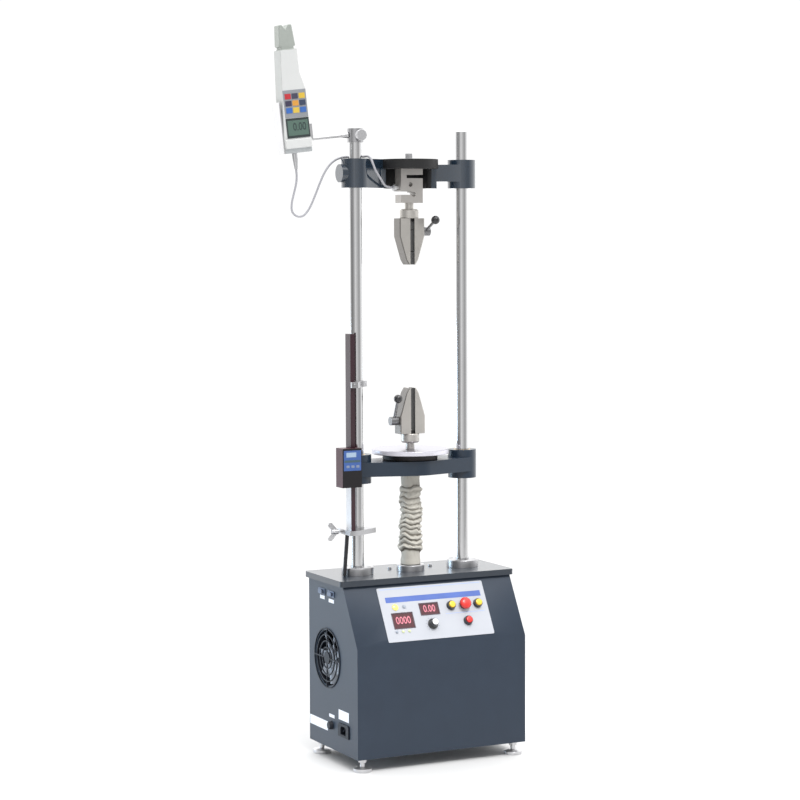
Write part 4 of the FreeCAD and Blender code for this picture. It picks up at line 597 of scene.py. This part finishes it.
# how far the cloth has moved, in metres: outwards in wide and in tight creases, inwards all
# round, to the side, and up or down in both kinds of crease
wide_out, tight_out, sunk, aside, wide_up, tight_up = 0.0036, 0.0022, 0.0007, 0.004, 0.009, 0.002
narrowest = valley_r
for corner in bellows.data.vertices:
    rise = corner.co.z * 1000
    slack = max(0, min(1, (rise - cuff_foot - 12) / 16, (cuff_head - 12 - rise) / 16))
    out = Vector((corner.co.x - axis.x, corner.co.y - axis.y, 0))
    away = out.normalized()
    wide = noise.noise(Vector((away.x * 1.3, away.y * 1.3, rise * 0.045)))
    tight = noise.noise(Vector((away.x * 3.1 + 7, away.y * 3.1, rise * 0.16)))
    sway = Vector((noise.noise(Vector((3.1, 0, rise * 0.035))),
                   noise.noise(Vector((9.7, 0, rise * 0.035))), 0))
    lift = noise.noise(Vector((away.x * 1.1 - 4, away.y * 1.1, rise * 0.03)))
    inward = 0.45 + 0.55 * min(1, max(0, (out.length * 1000 - narrowest) / 4))
    push = wide_out * wide + tight_out * tight * inward - sunk
    corner.co += slack * (away * push + sway * aside)
    corner.co.z += slack * (wide_up * lift + tight_up * tight)
wall = bellows.modifiers.new("wall", "SOLIDIFY")
wall.thickness = 0.0009
wall.offset = -1
bpy.ops.object.modifier_apply(modifier="wall")
bpy.ops.object.shade_smooth()
bellows_cloth = surface_finish("bellows_cloth", (0.50, 0.48, 0.43), 0.72, grain=0.0011, depth=0.22,
                               cloud=0.07)
# painted shade in the fold valleys: the cloth is darker where it lies nearer to the screw
weave = bellows_cloth.node_tree
where = weave.nodes.new("ShaderNodeAttribute")
where.attribute_name = "valley"
valley_shade_ramp = weave.nodes.new("ShaderNodeValToRGB")
valley_shade_ramp.color_ramp.elements[0].color = (0.98, 0.98, 0.98, 1)
valley_shade_ramp.color_ramp.elements[1].color = (0.17, 0.15, 0.125, 1)
valley_shaded = weave.nodes.new("ShaderNodeVectorMath")
valley_shaded.operation = "MULTIPLY"
unshaded_colour = weave.nodes["Principled BSDF"].inputs["Base Color"].links[0].from_socket
weave.links.new(where.outputs["Fac"], valley_shade_ramp.inputs["Fac"])
weave.links.new(unshaded_colour, valley_shaded.inputs[0])
weave.links.new(valley_shade_ramp.outputs["Color"], valley_shaded.inputs[1])
weave.links.new(valley_shaded.outputs["Vector"], weave.nodes["Principled BSDF"].inputs["Base Color"])
dye(bellows, bellows_cloth)
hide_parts("bellows")
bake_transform(bellows)


# The control panel is a printed film on the slope. A pale grey-violet ground carries a blue band
# across its head, over the two displays, and two thin pale rules.
slope_y, slope_z, slope_angle = -116.5, 250, 60.41
slope_turn = (Matrix.Translation(at(0, slope_y, slope_z))
              @ Matrix.Rotation(math.radians(slope_angle), 4, "X"))
film_top = 1.2
ink_low, ink_high = film_top - 0.02, film_top + 0.12
film = surface_finish("panel_film", tone(174, 177, 184), 0.4, grain=0.0015, depth=0.02, cloud=0.015,
                      specular=0.3)
overlay = dressed("control_panel", 0.0002)
dye(overlay, film)
band_blue = surface_finish("band_blue", tone(72, 98, 168), 0.35, grain=0.0015, depth=0.02,
                           cloud=0.1)
pale_blue = surface_finish("band_pale", tone(150, 170, 215), 0.35, grain=0.0015, depth=0.02,
                           cloud=0.05)
for name, low, high, ink in (("panel_band", (-106, 93.5), (112, 105.5), band_blue),
                             ("panel_rule", (-114, 122.2), (116, 123.4), pale_blue),
                             ("panel_key_rule", (22, 60.2), (112, 61.2), pale_blue)):
    print_strip = slab(name, (*low, ink_low), (*high, ink_high), 0.04, slope_turn, ink)
    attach(print_strip, "frame")


# Two display windows of dark red plastic, each in a thin raised rim. Their lit digits show through
# the plastic, and are laid on its face here.
def digits(name, words, size, x, up, lift, place, material):
    """Figures, cut as thin plates and laid on the given plane about a middle point."""
    bpy.ops.object.select_all(action="DESELECT")
    bpy.ops.object.text_add()
    label = bpy.context.active_object
    label.data.body = words
    label.data.size = size / 1000
    label.data.align_x = "CENTER"
    label.data.align_y = "CENTER"
    label.data.extrude = 0.0001
    label.data.resolution_u = 3
    label.data.offset = 0.0002
    bpy.ops.object.convert(target="MESH")
    label = bpy.context.active_object
    label.name = name
    label.data.transform(Matrix.Diagonal((1, 1.3, 1, 1)))
    label.data.transform(place @ Matrix.Translation((x / 1000, up / 1000, lift / 1000)))
    dye(label, material)
    return label


window_red = surface_finish("display_window", tone(74, 34, 40), 0.22, grain=0.002, depth=0.01)
window_rim = surface_finish("display_rim", tone(70, 52, 62), 0.4, grain=0.002, depth=0.02)
lit_red = surface_finish("display_digits", tone(205, 120, 135), 0.4, grain=0.002, depth=0.01)
windows = dressed("display_windows", 0.0003)
dye(windows, window_red)
rim_wide, rim_top = 1.6, film_top + 0.9
for name, x, up, width, tall, words, size in (("main", -76.5, 53.7, 45, 31.4, "0000", 17),
                                              ("speed", -12.5, 74.2, 41, 23.6, "0.00", 16)):
    figures = digits(f"{name}_figures", words, size, x, up, film_top + 0.15, slope_turn, lit_red)
    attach(figures, "frame")
    half, rise = width / 2, tall / 2
    out_x, out_y = half + rim_wide, rise + rim_wide
    for side, low, high in (("left", (-out_x, -out_y), (-half, out_y)),
                            ("right", (half, -out_y), (out_x, out_y)),
                            ("foot", (-half, -out_y), (half, -rise)),
                            ("head", (-half, rise), (half, out_y))):
        rim = slab(f"{name}_rim_{side}", (x + low[0], up + low[1], ink_low),
                   (x + high[0], up + high[1], rim_top), 0.25, slope_turn, window_rim)
        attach(rim, "frame")


# Lamps of cast resin: one large amber one, a small clear one and three status dots. The buttons
# have tall black housings with coloured caps, and the knob is black with a near-white cap, painted
# as its highlight, and a pale pointer, in a ring of eleven printed marks.
amber = surface_finish("lamp_amber", tone(232, 214, 120), 0.15, grain=0.002, depth=0.01)
clear_lamp = surface_finish("lamp_clear", tone(150, 158, 170), 0.15, grain=0.002, depth=0.01)
green_lamp = surface_finish("lamp_green", tone(205, 215, 165), 0.15, grain=0.002, depth=0.01)
lamps = dressed("indicator_lamps", 0.0003)
dye(lamps, amber, clear_lamp, green_lamp)
lamp_row, dot_row, clear_from, green_from = 300, 290, -75, -90
repaint(lamps, 1, lambda middle, facing: middle.x > clear_from and middle.z > lamp_row)
repaint(lamps, 1, lambda middle, facing: middle.x < green_from and middle.z < dot_row)
repaint(lamps, 2, lambda middle, facing: middle.x > green_from and middle.z < dot_row)
housing_black = surface_finish("button_housing", tone(44, 46, 54), 0.3, grain=0.002, depth=0.02)
yellow = surface_finish("button_yellow", tone(228, 190, 60), 0.25, grain=0.002, depth=0.02)
red = surface_finish("button_red", tone(206, 52, 48), 0.25, grain=0.002, depth=0.02)
# painted highlight: the knob's cap is near white; the pointer shares this paint
pointer_and_highlight_white = surface_finish("knob_cap", tone(225, 226, 230), 0.25, grain=0.002, depth=0.01)
sleeves = dressed("button_bezels", 0.0004)
dye(sleeves, housing_black)
button_places = {"up_button": (37.5, 77), "down_button": (99.5, 77), "stop_button": (68, 41.5),
                 "emergency_button": (68, 77)}
for node, (x, up) in button_places.items():
    here = slope_turn @ Matrix.Translation((x / 1000, up / 1000, 0))
    emergency = node == "emergency_button"
    shade = yellow if node in ("up_button", "down_button") else red
    ring_top = 4.0 if emergency else 8.6
    hollow = turned_piece(f"{node}_housing", [(8.8, -1.8), (8.8, film_top), (9.6, film_top),
                                              (9.6, film_top + 1.2), (8.9, film_top + 1.6),
                                              (8.7, ring_top), (7.4, ring_top), (7.4, -1.2)],
                          here, housing_black)
    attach(hollow, "frame")
    if emergency:
        cap = turned_piece("emergency_cap",
                           [(6.8, 3.2), (6.8, 8.2), (12.2, 8.7), (12.5, 10.6), (11.9, 12.8),
                            (10.2, 14.6), (7.6, 15.9), (4.4, 16.6), (1.2, 16.8)],
                           here, shade, edge=0.3)
    else:
        cap = turned_piece(f"{node}_cap",
                           [(6.9, 3.6), (6.9, 10.9), (6.2, 11.7), (4.6, 12.0), (1.0, 12.1)],
                           here, shade, edge=0.2)
    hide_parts(node)
    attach(cap, nodes[node]["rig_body"])
knob = dressed("speed_knob", 0.0005)
dye(knob, ball_black)
knob_x, knob_up = -13, 41
here = slope_turn @ Matrix.Translation((knob_x / 1000, knob_up / 1000, 0))
knob_cap = turned_piece("speed_knob_cap", [(6.6, 15.2), (6.6, 15.9), (6.0, 16.5), (1.0, 16.7)],
                        here, pointer_and_highlight_white, edge=0.15)
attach(knob_cap, nodes["speed_knob"]["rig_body"])
pointer = slab("speed_knob_pointer", (-0.6, 6.4, 4.6), (0.6, 9.6, 5.5), 0.15, here, pointer_and_highlight_white)
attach(pointer, nodes["speed_knob"]["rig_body"])
mark_count, first_mark, mark_step = 11, 135, 27
dial_marks = [slab("knob_scale_0", (-0.35, 13.2, ink_low), (0.35, 15.4, ink_high), 0.04,
                   Matrix.Identity(4), surface_finish("scale_ink", tone(90, 96, 120), 0.4))]
for index in range(1, mark_count):
    mark = dial_marks[0].copy()
    mark.data = dial_marks[0].data.copy()
    mark.name = f"knob_scale_{index}"
    bpy.context.scene.collection.objects.link(mark)
    dial_marks.append(mark)
for index, mark in enumerate(dial_marks):
    swing_round = Matrix.Rotation(math.radians(first_mark - mark_step * index), 4, "Z")
    mark.data.transform(here @ swing_round)
    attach(mark, "frame")


# Left wall: the fan behind its wire guard, the mains inlet, the fuse holder and two signal sockets.
# A bare white plate is stuck by the inlet, the fuse holder and each socket, and a long one lower
# down.
moulding = surface_finish("black_moulding", tone(30, 34, 42), 0.5, grain=0.001, depth=0.1,
                          specular=0.25)
rotor_grey = surface_finish("rotor_moulding", tone(150, 156, 166), 0.4, grain=0.001, depth=0.08)
for node, slot_name, finish in (("fan_frame", "black_plastic", moulding),
                                ("fan_rotor", "black_plastic", rotor_grey),
                                ("fan_guard", "black_steel", moulding),
                                ("mains_inlet", "black_plastic", moulding),
                                ("fuse_holder", "black_plastic", moulding)):
    part = dressed(node, 0.0003)
    dye(part, finish)
ports = dressed("signal_sockets", 0.0003)
dye(ports, surface_finish("socket_plating", tone(96, 106, 124), 0.35, 0.6, grain=0.001))
label_white = surface_finish("plate_white", tone(225, 228, 236), 0.45, grain=0.0015, depth=0.02,
                             cloud=0.02)
ground = Matrix.Translation(at(0, 0, 0))
plate_face, plate_back = -192.5, -191.9
for name, near, far, foot, head in (("long_plate", 27, 113.5, 61, 80),
                                    ("fuse_plate", -6, 19, 92, 98.5),
                                    ("inlet_plate", -75, -27, 95.5, 115.5),
                                    ("front_port_plate", -7, 18, 328.5, 336),
                                    ("back_port_plate", 38, 60, 331, 338.5)):
    bare = slab(name, (plate_face, near, foot), (plate_back, far, head), 0.15, ground,
                label_white)
    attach(bare, "frame")


# The digital scale: a bar beside the left column, dark above and bright below the reader, and a
# moulded reader with a blue printed face on its black front. A bracket above and a clamp with a
# wing screw and a thin support rod below hold the bar.
bar_coat = surface_finish("bar_coating", tone(46, 20, 30), 0.4, grain=0.001, depth=0.03)
bar_bright = surface_finish("bar_bright", tone(188, 190, 194), 0.3, 0.8, grain=0.001, depth=0.03,
                            stretch=(1, 1, 0.05))
bar_split = 606
bar = dressed("scale_bar", 0.0004)
bpy.ops.object.mode_set(mode="EDIT")
bpy.ops.mesh.select_all(action="SELECT")
bpy.ops.mesh.bisect(plane_co=at(0, 0, bar_split), plane_no=(0, 0, 1))
bpy.ops.object.mode_set(mode="OBJECT")
dye(bar, bar_coat, bar_bright)
repaint(bar, 1, lambda middle, facing: middle.z < bar_split and facing.y > -0.5)
reader_case = surface_finish("reader_moulding", tone(66, 30, 38), 0.45, grain=0.001, depth=0.08,
                             specular=0.3)
reader_black = surface_finish("reader_black", tone(24, 22, 25), 0.45, grain=0.001, depth=0.08,
                              specular=0.3)
reader = dressed("scale_reader", 0.0008)
dye(reader, reader_case, reader_black)
repaint(reader, 1, lambda middle, facing: facing.y < -0.5)
face_blue = surface_finish("reader_blue", tone(58, 88, 148), 0.35, grain=0.0015, depth=0.02,
                           cloud=0.08)
lcd_pale = surface_finish("reader_lcd", tone(150, 170, 190), 0.25, grain=0.002, depth=0.01)
lcd_line = surface_finish("reader_line", tone(62, 84, 92), 0.35, grain=0.002, depth=0.01)
key_grey = surface_finish("reader_keys", tone(120, 130, 150), 0.35, grain=0.002, depth=0.01)
reader_front, face_front, print_front = -26.9, -27.5, -27.9
for name, low, high, edge, finish in (("reader_face", (-177.5, 600), (-139, 641), 0.15, face_blue),
                                      ("reader_window", (-172, 627.5), (-150, 637), 0.2, lcd_pale),
                                      ("reader_rule", (-176, 617), (-141, 621.5), 0.1, lcd_line),
                                      ("reader_key_a", (-172, 606), (-165, 611), 0.5, key_grey),
                                      ("reader_key_b", (-161, 606), (-154, 611), 0.5, key_grey),
                                      ("reader_key_c", (-150, 606), (-143, 611), 0.5, key_grey)):
    proud = face_front if name == "reader_face" else print_front
    face = slab(name, (low[0], proud, low[1]), (high[0], reader_front, high[1]), edge, ground,
                finish)
    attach(face, nodes["scale_reader"]["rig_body"])
for node in ("scale_brackets", "scale_clamp"):
    bracket = dressed(node, 0.0005)
    dye(bracket, turned_steel)
wing = dressed("wing_screw", 0.0008)
dye(wing, zinc)
support = dressed("support_rod", 0.0003)
dye(support, surface_finish("rod_oxide", (0.03, 0.03, 0.033), 0.4, 0.5))


# The display gauge stands in a bent steel holder, on an arm clamped to the head of the left
# column. Its white case has a green display over a film of nine keys, a grey cap with a notch, and
# a chin and a grey band at its foot.
left_x, gauge_z, gauge_tilt = -122, 1279.5, -6.5
gauge_turn = (Matrix.Translation(at(left_x, axis_y, gauge_z))
              @ Matrix.Rotation(math.radians(gauge_tilt), 4, "Y"))
clamp = dressed("gauge_clamp", 0.0006)
dye(clamp, turned_steel)
clamp_knob = dressed("clamp_knob", 0.0008)
dye(clamp_knob, surface_finish("knob_alloy", tone(196, 196, 198), 0.35, 0.6, grain=0.001))
arm = dressed("gauge_arm", 0.0004)
dye(arm, zinc)
gauge_shell = surface_finish("gauge_shell", (0.74, 0.75, 0.745), 0.35, grain=0.0012, depth=0.03,
                             cloud=0.01)
# painted shade: the case's left-facing side gets this darker grey
gauge_side_painted_shade = surface_finish("gauge_side_painted_shade", (0.60, 0.62, 0.61), 0.4, grain=0.0012, depth=0.03,
                            specular=0.2)
cap_grey = surface_finish("gauge_cap_grey", tone(172, 178, 172), 0.4, grain=0.0012, depth=0.03)
cap_foot = 0.1805
gauge = dressed("gauge_body", 0.0035, 4)
dye(gauge, gauge_shell, cap_grey, gauge_side_painted_shade)
repaint(gauge, 2, lambda middle, facing: facing.x < -0.6)
repaint(gauge, 1, lambda middle, facing: (gauge_turn.inverted() @ at(*middle)).z > cap_foot)
film_dark = surface_finish("gauge_frame", tone(52, 62, 62), 0.4, grain=0.0015, depth=0.02)
film_grey = surface_finish("gauge_key_film", tone(150, 154, 160), 0.4, grain=0.0015, depth=0.02)
lcd_green = surface_finish("gauge_lcd", tone(92, 116, 106), 0.25, grain=0.002, depth=0.01,
                           cloud=0.03)
lcd_ink = surface_finish("gauge_figures", tone(52, 66, 66), 0.4, grain=0.002)
pad_film = slab("gauge_display", (-157.5, -17.9, 5.5), (-107, -16.9, 45), 0.3, gauge_turn,
                film_dark)
lens = slab("gauge_lens", (-154.5, -18.3, 10.5), (-110, -17.6, 40.5), 0.3, gauge_turn, lcd_green)
strip = slab("gauge_key_strip", (-157.5, -17.6, 46), (-107, -16.9, 101), 0.3, gauge_turn, film_grey)
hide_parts("gauge_panel")
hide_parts("gauge_panel")
upright_turn = gauge_turn @ Matrix.Rotation(math.radians(90), 4, "X")
figures = digits("gauge_reading", "0.00", 17, -129, 27, 18.35, upright_turn, lcd_ink)
for piece in (pad_film, lens, strip, figures):
    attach(piece, "frame")
key_rows = [(88.5, (tone(196, 52, 60), tone(70, 70, 90), tone(226, 190, 70))),
            (74.5, (tone(64, 60, 84), tone(224, 160, 70), tone(60, 70, 96))),
            (60.5, (tone(60, 110, 190), tone(228, 196, 80), tone(66, 112, 190)))]
key_half, key_rise = 6.7, 5.4
for row, (up, shades) in enumerate(key_rows):
    for column, (x, shade) in enumerate(zip((-147.5, -132.3, -117), shades)):
        key_paint = surface_finish(f"gauge_key_{row}{column}", shade, 0.4, grain=0.0015, depth=0.03)
        key = slab(f"gauge_key_{row}_{column}", (x - key_half, -18.4, up - key_rise),
                   (x + key_half, -17.5, up + key_rise), 0.4, gauge_turn, key_paint)
        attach(key, "frame")
chin = slab("gauge_chin", (-164.8, -22, -15), (-106.2, -16.5, 3.5), 2.2, gauge_turn, gauge_shell)
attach(chin, "frame")
foot_grey = surface_finish("gauge_foot_grey", tone(186, 190, 192), 0.45, grain=0.0012, depth=0.05)
foot_band = slab("gauge_foot", (-165.3, -17.3, -24.1), (-105.7, 16.9, -13), 2.0, gauge_turn,
                 foot_grey)
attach(foot_band, "frame")
